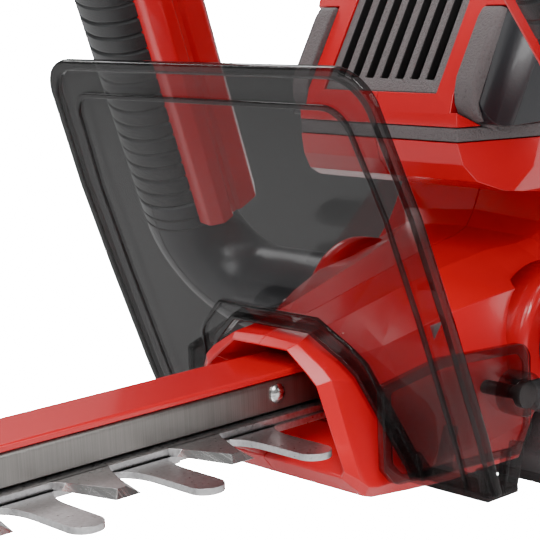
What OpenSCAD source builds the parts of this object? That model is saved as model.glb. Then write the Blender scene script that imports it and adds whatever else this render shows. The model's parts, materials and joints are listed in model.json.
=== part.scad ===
// Cordless hedge trimmer: double-sided reciprocating blades, clear hand guard,
// hoop front handle with a switch bar, motor housing and rear handle with battery.
// Axes: -X points along the blades away from the user, +Z is up, -Y is the user's left.
// Lengths along X start at the blade mouth and heights at the plane between the two blades;
// in_frame() then moves the origin to the sole, under the drive gear's axis.

/* [Blades] */
// Distance from one tooth to the next
tooth_pitch = 40; // [36:1:48]
// Teeth along each side
teeth_per_side = 15; // [8:1:18]
// Thickness of each blade
blade_t = 2; // [1.6:0.1:2.6]
// Half width of the plain middle strip of the upper blade
rail_half_w = 15.5; // [14.5:0.5:17]
// Reach of the sharp upper teeth from the middle line
tooth_reach = 36.5; // [32:0.5:42]
// Width of an upper tooth at its tip
tooth_tip_w = 8.4; // [6:0.2:10]
// Width of an upper tooth where it leaves the strip
tooth_root_w = 20; // [16:0.5:24]
// Reach of the blunt lower tines from the middle line
tine_reach = 47.9; // [43:0.5:54]
// Width of a lower tine
tine_w = 10.6; // [8:0.2:12]
// Width of a lower tine where it leaves the strip
tine_root_w = 24; // [18:0.5:28]
// Travel of each blade either side of its middle place
blade_travel = 10; // [6:0.5:10]
// Sliding gap between the flat faces of the blades
blade_gap = 0.1; // [0.05:0.05:0.3]

/* [Bar] */
// Half width of the steel bar over the blades
bar_half_w = 11.9; // [11:0.1:13]
// Height of the top of the bar above the blade plane
bar_top = 12.5; // [11:0.1:14]
// Sheet thickness of the bar
bar_wall = 2; // [1.5:0.1:2.5]
// Thickness of the coloured strip on the bar
cover_t = 2; // [1.5:0.1:2.5]
// Shank radius of the bolts that guide the blades
bolt_r = 3; // [2.5:0.1:3.5]
// Number of guide bolts
bolt_count = 5; // [3:1:7]
// Length of the blunt block at the end of the bar
tip_len = 34; // [26:1:40]

/* [Drive] */
// Distance from the blade mouth back to the drive gear's axis
gear_x = 95; // [92:1:100]
// Module of the gear teeth
gear_module = 1.2; // [1.1:0.05:1.25]
// Teeth on the drive gear
gear_teeth = 48; // [44:1:50]
// Teeth on the motor pinion
pinion_teeth = 16; // [14:1:18]
// Width of the drive gear
gear_w = 8; // [6:0.5:9]
// Radius of the two cams
cam_r = 12; // [11:0.5:12.5]
// Radius of the gear shaft
shaft_r = 4; // [3.5:0.5:5]
// Radius of the motor shell
motor_r = 27; // [25:0.5:28]
// Length of the motor shell
motor_len = 50; // [44:1:52]
// Radius of the motor shaft
motor_shaft_r = 3; // [2.5:0.25:3.5]

/* [Housing] */
// Height of the blade plane above the surface the trimmer rests on
blade_height = 40; // [38:1:48]
// Wall of the plastic shells
wall = 3; // [2.5:0.1:3.5]
// Half width of the lower housing at its widest
body_half_w = 48; // [46:0.5:54]
// Half width of the motor housing
head_half_w = 46; // [44:0.5:52]
// Height of the top of the motor housing above the blade plane
head_top = 150; // [144:1:160]
// Number of slots in the air vent
vent_slots = 7; // [5:1:7]
// Width of each slot in the air vent
vent_slot_w = 3.3; // [2.4:0.1:3.6]

/* [Guard] */
// Half width of the guard at its middle
guard_half_w = 76; // [72:0.5:82]
// Height of the top of the guard above the blade plane
guard_top = 107.5; // [98:0.5:112]
// Thickness of the clear plastic
guard_t = 3; // [2.5:0.1:3.5]
// Forward lean of the guard
lean = 20.4; // [18:0.2:22]

/* [Front handle] */
// Distance from the middle line to the middle of each handle leg at its foot
hoop_half_w = 119.8; // [112:0.2:126]
// Height of the crossbar's middle, measured along the lean
hoop_top = 225; // [205:1:240]
// Forward lean of the handle
hoop_lean = 27; // [24:0.5:30]
// Inward slope of each handle leg
leg_slope = 13; // [8:0.5:15]
// Radius of the grip
grip_r = 17; // [15.5:0.5:18]
// Radius of the core inside the grip
core_r = 12; // [11:0.5:12.5]
// Travel of the front switch bar
switch_travel = 4; // [2:0.5:5]

/* [Rear handle] */
// Half width of the rear grip
rear_half_w = 17; // [16:0.5:20]
// Length of the hand opening in the rear handle
loop_len = 112; // [106:1:118]
// Travel of the trigger's pivot in degrees
trigger_angle = 12; // [6:1:12]
// Travel of the lock-off button
lock_travel = 3; // [1.5:0.5:3]

/* [Battery] */
// Length of the battery pack
pack_len = 120; // [112:1:124]
// Half width of the battery pack
pack_half_w = 38; // [37:0.5:44]

/* [Hidden] */
$fn = 48;

big = 400;                  // longer than any cut needs to be
run_gap = 0.4;              // air between pieces that move past each other
pin_gap = 0.05;             // radial gap of a shaft or pin in its bore

mouth_depth = 45;
upper_z = blade_gap / 2;                    // underside of the upper blade
lower_z = -blade_gap / 2 - blade_t;         // underside of the lower blade
lower_rail_half_w = rail_half_w + 1.5;
first_tine_x = -19.1;
first_tooth_x = -tooth_pitch;
blade_front_x = first_tine_x - tooth_pitch * (teeth_per_side - 1) - 21;
bar_front_x = blade_front_x - blade_travel - 8;
bar_back_x = 58;
bar_bottom = upper_z + blade_t + 0.7;
bolt_pitch = (-blade_front_x - 30) / (bolt_count - 0.5);
function bolt_x(i) = -40 - bolt_pitch * i;

cam_sweep = blade_travel + cam_r;
yoke_in_x = cam_sweep + blade_travel + run_gap;
yoke_in_y = cam_sweep + run_gap;
yoke_rim = 6;
gear_z = 8;
pinion_x = gear_x + gear_module * (gear_teeth + pinion_teeth) / 2;
bearing_r = 11;
bearing_w = 7;
box_floor_z = -18;
box_floor_t = 8;
box_half_w = 34;
box_front_x = 46;
box_back_x = pinion_x + 17;
box_lid_z = 20;
box_lid_t = 7;
motor_cap_t = 6;
small_bearing_r = 9.5;
small_bearing_w = 6;

body_back_x = 196;
step_x = 82;                // where the black base cover begins
split_z = 3;                // joint between the red housing and the base cover
neck_x = 104;
neck_half_w = 36;
head_x = 54;
head_bottom = 62;
motor_z = head_bottom + wall;
head_back_x = 214;
fascia_z = 83.2;
vent_z = 93.3;
vent_x = 55.8;
vent_tilt = 31;
vent_half_w = 24.8;
vent_len = 54;
vent_margin = 5;
vent_side = 3.5;
vent_t = 3;
trim_h = 4.8;
trim_t = 2.6;
sole_z = -blade_height;

shoulder_x = 90;            // where the handle enters the housing
shoulder_z = 12;
shoulder_r = 24.7;
shoulder_y = body_half_w + 2;
shoulder_in_y = 36;
hoop_x = shoulder_x + shoulder_z * tan(hoop_lean);
hoop_low = shoulder_z / cos(hoop_lean);
hoop_low_r = 30;
hoop_high_r = 45;
low_bend_y = hoop_half_w - hoop_low_r * cos(leg_slope);
low_bend_z = hoop_low + hoop_low_r;
leg_foot_z = low_bend_z + hoop_low_r * sin(leg_slope);
leg_head_z = hoop_top - hoop_high_r + hoop_high_r * sin(leg_slope);
leg_len = (leg_head_z - leg_foot_z) / cos(leg_slope);
high_bend_y = hoop_half_w - leg_len * sin(leg_slope) - hoop_high_r * cos(leg_slope);
high_bend_z = hoop_top - hoop_high_r;
stub_len = 14;
grip_start = 12;            // from the leg's foot to the lower end of the grip
bar_in = 9;                 // from the leg's middle to the switch bar's outer face
bar_out = 24;               // from the leg's middle to the switch bar's inner face
bar_front = -8;
bar_rear = 20;
bar_start = 2;              // from the leg's foot to the lower end of the switch bar

loop_x = 226;
loop_low = -6;
loop_high = 92;
rear_top = 130;
pack_x = loop_x + loop_len + 34;
pack_top = 28;
rail_h = 8;
block_back_x = pack_x + 96;
block_bottom = pack_top + rail_h + 1;
block_half_w = pack_half_w + 3;
trigger_x = 290;            // pivot of the trigger
trigger_z = 104;
trigger_half_w = 7;
lock_x = 268;
lock_r = 7;
latch_travel = 4;

module in_frame() { translate([-gear_x, 0, blade_height]) children(); }
module both_sides() { children(); mirror([0, 1, 0]) children(); }
module box(x0, x1, y0, y1, z0, z1) { translate([x0, y0, z0]) cube([x1 - x0, y1 - y0, z1 - z0]); }
module across(half) { rotate([90, 0, 0]) translate([0, 0, -half]) linear_extrude(2 * half) children(); }
module along_x(x0, x1) {
    translate([x0, 0, 0]) rotate([90, 0, 90]) linear_extrude(x1 - x0) children();
}
module upright(x, z, r, h) { translate([x, 0, z]) cylinder(r = r, h = h); }
module ring(r_in, r_out, h) { difference() { cylinder(r = r_out, h = h); translate([0, 0, -1])
    cylinder(r = r_in, h = h + 2); } }
module left_half() { intersection() { children(); box(-big, 2 * big, -big, 0, -big, big); } }
module right_half() { intersection() { children(); box(-big, 2 * big, 0, big, -big, big); } }

// ---- Helical spring along +Z, swept from one round profile ----
module coil_spring(r, wire_r, h, turns) {
    sides = 6;
    steps = 10 * turns;
    ring_at = function (i) let (a = 360 * turns * i / steps, z = wire_r + (h - 2 * wire_r) * i / steps)
        [for (k = [0:sides - 1]) let (b = 360 * k / sides)
            [(r + wire_r * cos(b)) * cos(a), (r + wire_r * cos(b)) * sin(a), z + wire_r * sin(b)]];
    points = [for (i = [0:steps]) each ring_at(i)];
    walls = [for (i = [0:steps - 1]) for (k = [0:sides - 1]) let (n = (k + 1) % sides)
        [i * sides + k, (i + 1) * sides + k, (i + 1) * sides + n, i * sides + n]];
    ends = [[for (k = [0:sides - 1]) k], [for (k = [sides - 1:-1:0]) steps * sides + k]];
    polyhedron(points, concat(walls, ends), convexity = 10);
}

// ---- Involute gear outline ----
function involute(base_r, angle) =
    let (turn = angle * PI / 180)
    base_r * [cos(angle) + turn * sin(angle), sin(angle) - turn * cos(angle)];
function turned(p, a) = [p.x * cos(a) - p.y * sin(a), p.x * sin(a) + p.y * cos(a)];
function roll_at(base_r, r) = r <= base_r ? 0 : sqrt(pow(r / base_r, 2) - 1) * 180 / PI;
module gear_outline(teeth, backlash = 0.14) {
    pitch_r = gear_module * teeth / 2;
    base_r = pitch_r * cos(20);
    tip_r = pitch_r + 0.9 * gear_module;
    root_r = pitch_r - 1.2 * gear_module;
    start_r = max(base_r, root_r + 0.05);
    at_pitch = involute(base_r, roll_at(base_r, pitch_r));
    half_tooth = 90 / teeth - backlash / pitch_r * 90 / PI;
    flank_turn = half_tooth + atan2(at_pitch.y, at_pitch.x);
    steps = 4;
    flank = [for (i = [0:steps]) let (r = start_r + (tip_r - start_r) * i / steps)
        turned(involute(base_r, roll_at(base_r, r)), -flank_turn)];
    tooth = concat([[root_r * cos(flank_turn), -root_r * sin(flank_turn)]], flank,
        [for (i = [steps:-1:0]) [flank[i].x, -flank[i].y]],
        [[root_r * cos(flank_turn), root_r * sin(flank_turn)]]);
    polygon([for (t = [0:teeth - 1]) for (p = tooth) turned(p, 360 * t / teeth)]);
}

// ---- Blades ----
module slot(x, half_len, r, z, h) {
    for (s = [-1, 1]) translate([x + s * half_len, 0, z - 1]) cylinder(r = r, h = h + 2);
    box(x - half_len, x + half_len, -r, r, z - 1, z + h + 1);
}
module blade_blank(half_w, z) {
    box(blade_front_x, gear_x - yoke_in_x + 1, -half_w, half_w, z, z + blade_t);
    difference() {
        box(gear_x - yoke_in_x - yoke_rim, gear_x + yoke_in_x + yoke_rim,
            -yoke_in_y - yoke_rim, yoke_in_y + yoke_rim, z, z + blade_t);
        box(gear_x - yoke_in_x, gear_x + yoke_in_x, -yoke_in_y, yoke_in_y, z - 1, z + blade_t + 1);
    }
}
module guide_slots(z) {
    for (i = [0:bolt_count - 1]) slot(bolt_x(i), blade_travel + run_gap, bolt_r + pin_gap, z, blade_t);
}
module upper_blade() {
    color("silver") in_frame() difference() {
        union() {
            blade_blank(rail_half_w, upper_z);
            both_sides() for (i = [0:teeth_per_side - 1])
                translate([first_tooth_x - tooth_pitch * i, 0, upper_z]) linear_extrude(blade_t)
                    polygon([[-tooth_root_w / 2, rail_half_w - 1], [tooth_root_w / 2, rail_half_w - 1],
                        [tooth_root_w / 2 - 1, rail_half_w + 3], [tooth_tip_w / 2, tooth_reach],
                        [-tooth_tip_w / 2, tooth_reach], [-tooth_root_w / 2 + 1, rail_half_w + 3]]);
        }
        guide_slots(upper_z);
    }
}
module lower_blade() {
    tine_r = tine_w / 2;
    color("silver") in_frame() difference() {
        union() {
            blade_blank(lower_rail_half_w, lower_z);
            both_sides() for (i = [0:teeth_per_side - 1])
                translate([first_tine_x - tooth_pitch * i, 0, lower_z]) linear_extrude(blade_t) {
                    polygon([[-tine_root_w / 2, lower_rail_half_w - 1],
                        [tine_root_w / 2, lower_rail_half_w - 1],
                        [tine_root_w / 2 - 3, lower_rail_half_w + 2], [tine_r, lower_rail_half_w + 12],
                        [tine_r, tine_reach - tine_r], [-tine_r, tine_reach - tine_r],
                        [-tine_r, lower_rail_half_w + 12], [-tine_root_w / 2 + 3, lower_rail_half_w + 2]]);
                    translate([0, tine_reach - tine_r]) circle(r = tine_r);
                }
        }
        guide_slots(lower_z);
    }
}

// ---- Bar over the blades ----
bar_web_z = bar_top - bar_wall;
module support_bar() {
    color("gray") in_frame() difference() {
        box(bar_front_x, bar_back_x, -bar_half_w, bar_half_w, bar_bottom, bar_top);
        box(bar_front_x - 1, bar_back_x + 1, -bar_half_w + bar_wall, bar_half_w - bar_wall,
            bar_bottom - 1, bar_web_z);
        for (i = [0:bolt_count - 1]) upright(bolt_x(i), bar_web_z - 1, bolt_r, bar_wall + 2);
        for (x = bar_screw_xs) translate([x, 0, bar_screw_z]) rotate([90, 0, 0])
            cylinder(r = 1.5, h = 4 * bar_half_w, center = true);
    }
}
module bar_cover() {
    color("red") in_frame()
        box(bar_front_x + tip_lap, bar_back_x - 20, -bar_half_w, bar_half_w, bar_top, bar_top + cover_t);
}
tip_lap = 14;
bar_screw_xs = [-4, 47];
bar_screw_z = 8;
module bar_screws() {
    color("silver") in_frame() both_sides() for (x = bar_screw_xs) translate([x, bar_half_w, bar_screw_z])
        rotate([-90, 0, 0]) {
        translate([0, 0, -bar_wall - 1]) cylinder(r = 1.5, h = bar_wall + 1);
        intersection() {
            translate([0, 0, -2.2]) sphere(r = 4);
            cylinder(r = 3, h = 3);
        }
    }
}
bolt_head_t = 4;
washer_t = 1;
bolt_under_z = lower_z - blade_gap;
module blade_bolts() {
    color("dimgray") in_frame() for (i = [0:bolt_count - 1]) {
        upright(bolt_x(i), bolt_under_z - washer_t, bolt_r, bar_top - bolt_under_z + washer_t);
        translate([bolt_x(i), 0, bolt_under_z - washer_t - bolt_head_t])
            cylinder(r = 5.8, h = bolt_head_t, $fn = 6);
    }
}
module blade_washers() {
    color("silver") in_frame() for (i = [0:bolt_count - 1])
        translate([bolt_x(i), 0, bolt_under_z - washer_t]) ring(bolt_r, 7, washer_t);
}
module blade_spacers() {
    color("gray") in_frame() for (i = [0:bolt_count - 1])
        translate([bolt_x(i), 0, upper_z + blade_t + blade_gap])
            ring(bolt_r, 6.5, bar_web_z - upper_z - blade_t - blade_gap);
}
tip_screw_x = bar_front_x + tip_lap / 2;
module tip_guard() {
    top = bar_top + cover_t;
    low = lower_z - 4;
    half = rail_half_w + 2;
    color("dimgray") in_frame() difference() {
        union() {
            box(bar_front_x - tip_len + half, bar_front_x + tip_lap, -half, half, low, top);
            translate([bar_front_x - tip_len + half, 0, low]) cylinder(r = half, h = top - low);
        }
        box(bar_front_x, big, -bar_half_w, bar_half_w, bar_bottom, bar_top);
        box(blade_front_x - blade_travel - tooth_root_w / 2 - 2, big, -half - 1, half + 1, low - 1,
            bar_bottom);
        upright(tip_screw_x, bar_bottom, 2, big);
    }
}
module tip_screw() {
    color("silver") in_frame() {
        upright(tip_screw_x, bar_top, 2, cover_t + 0.01);
        upright(tip_screw_x, bar_top + cover_t, 4, 1.8);
    }
}

// ---- Gearbox ----
screw_spots = [[box_front_x + 6, box_half_w - 5], [box_back_x - 5, box_half_w - 5]];
module gearbox_base() {
    wall_in = box_half_w - 4;
    cheek_top = 14;
    color("lightgray") in_frame() difference() {
        union() {
            box(box_front_x - 4, box_back_x, -box_half_w, box_half_w, box_floor_z, box_floor_z + box_floor_t);
            both_sides() box(box_front_x - 4, box_back_x, yoke_in_y + yoke_rim + 1.5, box_half_w,
                box_floor_z, box_lid_z);
            box(box_back_x - 3, box_back_x, -box_half_w, box_half_w, box_floor_z, box_lid_z);
            both_sides() box(38, bar_back_x, bar_half_w, bar_half_w + 5, bar_bottom + 0.4, cheek_top);
            both_sides() box(box_front_x - 4, bar_back_x, bar_half_w, box_half_w, bar_bottom + 0.4,
                bar_bottom + 3);
        }
        upright(gear_x, box_floor_z - 1, bearing_r, box_floor_t + 2);
        both_sides() translate([bar_screw_xs[1], bar_half_w, bar_screw_z]) rotate([90, 0, 0])
            cylinder(r = 3.2, h = 20, center = true);
        both_sides() for (p = screw_spots) translate([p.x, p.y + 3, box_lid_z - 9]) cylinder(r = 1.5, h = 10);
        box(gear_x - 33, gear_x + 33, -wall_in - 0.5, wall_in + 0.5, gear_z - 1, gear_z + gear_w + 1);
    }
}
module gearbox_cover() {
    color("lightgray") in_frame() difference() {
        box(box_front_x - 4, box_back_x, -box_half_w, box_half_w, box_lid_z, box_lid_z + box_lid_t);
        upright(gear_x, box_lid_z - 1, bearing_r, box_lid_t + 2);
        upright(pinion_x, box_lid_z - 1, gear_module * pinion_teeth / 2 + 3, box_lid_t + 2);
        both_sides() for (p = screw_spots) translate([p.x, p.y + 3, box_lid_z - 1]) cylinder(r = 1.5, h = 20);
        // the lid follows the sloping roof at its front
        translate([box_front_x - 5, -big, box_lid_z + 3]) rotate([0, -12.4, 0]) cube([30, 2 * big, 20]);
    }
}
module gearbox_screws() {
    color("silver") in_frame() both_sides() for (p = screw_spots) translate([p.x, p.y + 3, box_lid_z - 8]) {
        lid_here = p.x < gear_x ? 3 + (p.x - box_front_x) * 0.2 : box_lid_t;
        cylinder(r = 1.5, h = 8 + lid_here + 0.2);
    }
}
module gear_bearings() {
    color("gainsboro") in_frame() for (z = [box_floor_z, box_lid_z])
        translate([gear_x, 0, z]) ring(shaft_r + pin_gap, bearing_r, bearing_w);
}
module drive_gear() {
    color("slategray") in_frame() translate([gear_x, 0, gear_z]) difference() {
        linear_extrude(gear_w) gear_outline(gear_teeth);
        translate([0, 0, -1]) cylinder(r = shaft_r, h = gear_w + 2);
        for (a = [0:60:300]) rotate(a) translate([17, 0, -1]) cylinder(r = 5.5, h = gear_w + 2);
    }
}
module gear_shaft() {
    color("silver") in_frame() {
        upright(gear_x, box_floor_z + 0.5, shaft_r, box_lid_z + box_lid_t - box_floor_z - 1);
    }
}
module blade_cams() {
    color("gray") in_frame() translate([gear_x, 0, 0]) difference() {
        union() {
            translate([0, blade_travel, upper_z]) cylinder(r = cam_r, h = blade_t);
            translate([0, -blade_travel, lower_z]) cylinder(r = cam_r, h = blade_t);
            translate([0, 0, lower_z]) cylinder(r = shaft_r + 3, h = gear_z - lower_z);
        }
        translate([0, 0, -20]) cylinder(r = shaft_r, h = 60);
    }
}

// ---- Motor ----
module motor_shell() {
    color("dimgray") in_frame() translate([pinion_x, 0, motor_z]) difference() {
        cylinder(r = motor_r, h = motor_len);
        translate([0, 0, motor_cap_t]) cylinder(r = motor_r - 2, h = motor_len - 2 * motor_cap_t);
        translate([0, 0, -1]) cylinder(r = small_bearing_r, h = motor_len + 2);
        for (a = [0:45:315]) rotate(a) translate([motor_r - 9, 0, -1]) cylinder(r = 3, h = motor_len + 2);
    }
}
stator_r = 16;
module motor_stator() {
    color("peru") in_frame() translate([pinion_x, 0, motor_z + motor_cap_t + 4]) difference() {
        cylinder(r = motor_r - 2, h = motor_len - 2 * motor_cap_t - 8);
        translate([0, 0, -1]) cylinder(r = stator_r, h = motor_len);
        for (a = [0:30:330]) rotate(a) translate([stator_r + 3, 0, -1]) cylinder(r = 2, h = motor_len);
    }
}
shaft_low_z = gear_z - 3;
module motor_rotor() {
    color("silver") in_frame() translate([pinion_x, 0, 0]) {
        translate([0, 0, shaft_low_z])
            cylinder(r = motor_shaft_r, h = motor_z + motor_len + fan_h + 3 - shaft_low_z);
        translate([0, 0, motor_z + motor_cap_t + 4])
            ring(motor_shaft_r - 0.5, stator_r - 0.8, motor_len - 2 * motor_cap_t - 8);
    }
}
module motor_bearings() {
    color("gainsboro") in_frame() for (z = [motor_z, motor_z + motor_len - small_bearing_w])
        translate([pinion_x, 0, z]) ring(motor_shaft_r + pin_gap, small_bearing_r, small_bearing_w);
}
module motor_pinion() {
    color("slategray") in_frame() translate([pinion_x, 0, gear_z - 1]) difference() {
        linear_extrude(gear_w + 2) rotate(pinion_teeth % 2 == 0 ? 180 / pinion_teeth : 0)
            gear_outline(pinion_teeth);
        translate([0, 0, -1]) cylinder(r = motor_shaft_r, h = gear_w + 4);
    }
}
fan_h = 9;
fan_r = 25;
module cooling_fan() {
    color("ivory") in_frame() translate([pinion_x, 0, motor_z + motor_len + 2]) difference() {
        union() {
            cylinder(r = fan_r, h = 1.5);
            cylinder(r = motor_shaft_r + 4, h = fan_h);
            for (a = [0:30:330]) rotate(a) translate([8, 0, 0]) rotate(18) translate([0, -0.6, 0])
                cube([fan_r - 10, 1.2, fan_h]);
        }
        translate([0, 0, -1]) cylinder(r = motor_shaft_r, h = fan_h + 2);
    }
}

// ---- Lower housing ----
ramp_z0 = 21.5;
ramp_z1 = 42;
module lower_solid() {
    intersection() {
        across(body_half_w) polygon([[0, ramp_z0], [9, 24.3], [89.5, ramp_z1], [neck_x + 4, ramp_z1],
            [neck_x + 13, head_bottom - 1.5], [body_back_x, head_bottom - 1.5], [body_back_x, split_z],
            [step_x, split_z], [step_x, -26.5], [26, -26.5], [4, -17.5], [0, -17]]);
        union() {
            along_x(0, step_x) polygon([[-14.2, 44], [14.2, 44], [26, 30], [28.4, 13.1], [39.1, -14.8],
                [37, -26.5],
                [-37, -26.5], [-39.1, -14.8], [-28.4, 13.1], [-26, 30]]);
            along_x(step_x - 12, body_back_x)
                polygon([[-neck_half_w, 62], [neck_half_w, 62], [neck_half_w + 1, 44],
                [body_half_w, 30], [body_half_w, split_z], [-body_half_w, split_z], [-body_half_w, 30],
                [-neck_half_w - 1, 44]]);
            along_x(40, step_x - 5) polygon([[-20, 60], [20, 60], [38, 26], [40, 0], [37, -26.5],
                [-37, -26.5],
                [-40, 0], [-38, 26]]);
        }
    }
}
module shoulders() {
    both_sides() translate([shoulder_x, shoulder_in_y, shoulder_z]) rotate([-90, 0, 0])
        cylinder(r = shoulder_r, h = shoulder_y - shoulder_in_y);
}
module lower_shell() {
    difference() {
        union() {
            lower_solid();
            intersection() {
                shoulders();
                union() { box(0, big, -big, big, split_z, big); box(0, step_x, -big, big, -big,
                    split_z + 1); }
            }
        }
        // mouth for the bar and the blades
        along_x(-1, mouth_depth) polygon([[-13.5, 16], [13.5, 16], [14, 6], [20.5, 4], [22.5, -5],
            [-22.5, -5], [-20.5, 4], [-14, 6]]);
        // gearbox chamber and the opening up to the motor
        across(box_half_w + 0.5) polygon([[34, box_floor_z - 1], [34, 24], [88, 37], [body_back_x - wall, 37],
            [body_back_x - wall, split_z - 1], [step_x + 1, split_z - 1], [step_x + 1, box_floor_z - 1]]);
        box(neck_x + wall + 3, body_back_x - wall, -neck_half_w + wall, neck_half_w - wall, 30, 70);
        box(step_x, body_back_x - wall, -box_half_w - 0.5, box_half_w + 0.5, -30, 20);
        hoop_sockets();
        base_screw_holes();
        guard_screw_holes();
    }
}
module lower_housing_left() { color("red") in_frame() left_half() lower_shell(); }
module lower_housing_right() { color("red") in_frame() right_half() lower_shell(); }
module base_cover() {
    color("dimgray") in_frame() difference() {
        union() {
            box(step_x, body_back_x + 8, -body_half_w, body_half_w, sole_z + 4, split_z);
            box(step_x + 8, body_back_x, -body_half_w + 10, body_half_w - 10, sole_z, sole_z + 5);
            intersection() { shoulders(); box(step_x, big, -big, big, -big, split_z); }
        }
        box(step_x - 1, body_back_x - wall, -box_half_w - 0.5, box_half_w + 0.5, sole_z + wall + 4,
            split_z + 1);
        box(body_back_x, body_back_x + 9, -body_half_w + 12, body_half_w - 12, -big, big);
        base_screw_holes();
        hoop_sockets();
    }
}
base_screw_xs = [step_x + 40, body_back_x - 12];
base_screw_r = 1.8;
base_screw_len = 46;
module base_screw_holes() {
    both_sides() for (x = base_screw_xs) translate([x, body_half_w - 6.5, sole_z + 3])
        cylinder(r = base_screw_r, h = base_screw_len + 2);
}
module nose_seal() {
    color("black") in_frame() difference() {
        box(mouth_depth - 20, mouth_depth - 17, -20, 20, -5, 15.5);
        box(0, 60, -bar_half_w - 0.2, bar_half_w + 0.2, bar_bottom - 0.6, 15.6 + 1);
        box(0, 60, -lower_rail_half_w - 0.5, lower_rail_half_w + 0.5, lower_z - 0.5, bar_bottom);
        both_sides() box(0, 60, bar_half_w, 22, bar_bottom, 20);
    }
}

// ---- Hand guard ----
module guard_plane() { translate([15.5, 0, 0]) rotate([0, -lean, 0]) children(); }
guard_len = guard_top / cos(lean);
guard_low = -19 / cos(lean);
guard_corner = 12;
module guard_outline(inset) {
    w = guard_half_w - inset;
    top = guard_len - inset;
    r = guard_corner - inset / 2;
    polygon(concat(
        [[-w + 1, guard_low + inset], [w - 1, guard_low + inset], [w, guard_len * 0.35]],
        [for (a = [0:15:90]) [w - 4 - r + r * cos(a), top - r + r * sin(a)]],
        [for (a = [90:15:180]) [-w + 4 + r + r * cos(a), top - r + r * sin(a)]],
        [[-w, guard_len * 0.35]]));
}
guard_screw_x = 58;
guard_screw_z = 2;
skirt_front_y = 40.6;
skirt_back_y = shoulder_y;
skirt_back_x = shoulder_x - shoulder_r - 1;
skirt_top = 17;
skirt_low = -18;
module skirt() {
    translate([0, 0, skirt_low]) linear_extrude(skirt_top - skirt_low)
        polygon([[8, skirt_front_y], [skirt_back_x, skirt_back_y], [skirt_back_x, skirt_back_y + guard_t],
            [8, skirt_front_y + guard_t]]);
}
guard_screw_r = 2.2;
module guard_screw_holes() {
    both_sides() translate([guard_screw_x, 0, guard_screw_z]) rotate([-90, 0, 0])
        cylinder(r = guard_screw_r, h = 90);
}
module hand_guard() {
    color([0.25, 0.25, 0.25, 0.6]) in_frame() difference() {
        union() {
            guard_plane() rotate([90, 0, 90]) linear_extrude(guard_t) guard_outline(0);
            both_sides() skirt();
            both_sides() box(20, 32, skirt_front_y + guard_t, guard_half_w - 2, skirt_low, skirt_low + 2.5);
            both_sides() translate([guard_screw_x, body_half_w - 8, guard_screw_z]) rotate([-90, 0, 0])
                cylinder(r = 7, h = skirt_back_y + guard_t + 2 - body_half_w + 8);
        }
        // seat around the nose and the ramp
        along_x(-60, 60) polygon([[-15, 24.5], [15, 24.5], [26, 17.5], [29.4, 13.6], [40.2, -14.8],
            [40.2, -60],
            [-40.2, -60], [-40.2, -14.8], [-29.4, 13.6], [-26, 17.5]]);
        along_x(-60, 60) polygon([[-21, 60], [21, 60], [39, 26], [41, 0], [38, -26.5], [-38, -26.5],
            [-41, 0], [-39, 26]]);
        guard_screw_holes();
    }
}
module guard_screws() {
    screw_out = skirt_back_y + guard_t + 2;
    color("dimgray") in_frame() both_sides() translate([guard_screw_x, 0, guard_screw_z])
        rotate([-90, 0, 0]) {
        translate([0, 0, 35]) cylinder(r = guard_screw_r, h = screw_out - 35);
        translate([0, 0, screw_out]) cylinder(r = 4.2, h = 2.6);
    }
}

// ---- Motor housing ----
function vent_point(up) = [vent_x + up * sin(vent_tilt), vent_z + up * cos(vent_tilt)];
vent_up = (head_top - 4 - vent_z) / cos(vent_tilt);
module head_solid(inset = 0) {
    top = head_top - inset;
    intersection() {
        across(head_half_w - inset) polygon([[head_x + 6 + inset, head_bottom],
            [head_x + inset, fascia_z - trim_h],
            [head_x + inset, fascia_z + 4], vent_point(0) + [inset, 0], vent_point(vent_up) + [inset, 0],
            [vent_point(vent_up).x + 12, top], [head_back_x - 24, top], [head_back_x - inset, top - 14],
            [head_back_x - inset, head_bottom]]);
        translate([0, 0, head_bottom]) linear_extrude(2 * big) polygon([[head_x, -34.5 + inset],
            [head_x + 26, -head_half_w + inset], [head_back_x, -head_half_w + inset],
            [head_back_x, head_half_w - inset], [head_x + 26, head_half_w - inset], [head_x, 34.5 - inset]]);
    }
}
module trim_zone() { box(0, head_x + 34, -big, big, fascia_z - trim_h, fascia_z); }
module upper_shell() {
    difference() {
        head_solid();
        intersection() {
            head_solid(wall);
            box(-big, 2 * big, -big, big, head_bottom + wall, big);
        }
        translate([vent_x, 0, vent_z]) rotate([0, vent_tilt, 0])
            translate([-20, -vent_half_w, 0]) cube([40, 2 * vent_half_w, vent_len]);
        intersection() { head_solid(); trim_zone(); }
        box(neck_x + wall + 3, body_back_x - wall, -neck_half_w + wall, neck_half_w - wall,
            head_bottom - 1, head_bottom + 9);
        // seats for the corner bumpers
        both_sides() bumper_zone();
        box(head_back_x - wall - 1, head_back_x + 1, -11, 11, 100, 128);
    }
}
module upper_housing_left() { color("red") in_frame() left_half() upper_shell(); }
module upper_housing_right() { color("red") in_frame() right_half() upper_shell(); }
module vent_grille() {
    pitch = (2 * (vent_half_w - vent_side) - vent_slot_w) / (vent_slots - 1);
    color("dimgray") in_frame() translate([vent_x, 0, vent_z]) rotate([0, vent_tilt, 0]) difference() {
        translate([0, -vent_half_w, 0]) cube([vent_t, 2 * vent_half_w, vent_len]);
        for (i = [0:vent_slots - 1]) translate([-1, -vent_half_w + vent_side + i * pitch, vent_margin])
            cube([vent_t + 2, vent_slot_w, vent_len - 2 * vent_margin]);
    }
}
module chin_trim() {
    color("dimgray") in_frame() difference() {
        intersection() { head_solid(); trim_zone(); }
        head_solid(trim_t);
    }
}
bumper_len = 32;
module bumper_zone() {
    translate([vent_x, 0, vent_z - 9]) rotate([0, vent_tilt, 0]) translate([-14, 32, 3])
        cube([38, 30, bumper_len + 4]);
}
module bumper_block() {
    translate([vent_x, 0, vent_z - 9]) rotate([0, vent_tilt, 0]) translate([-2, 32, 3])
        cube([26, 17, bumper_len + 4]);
}
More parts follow.
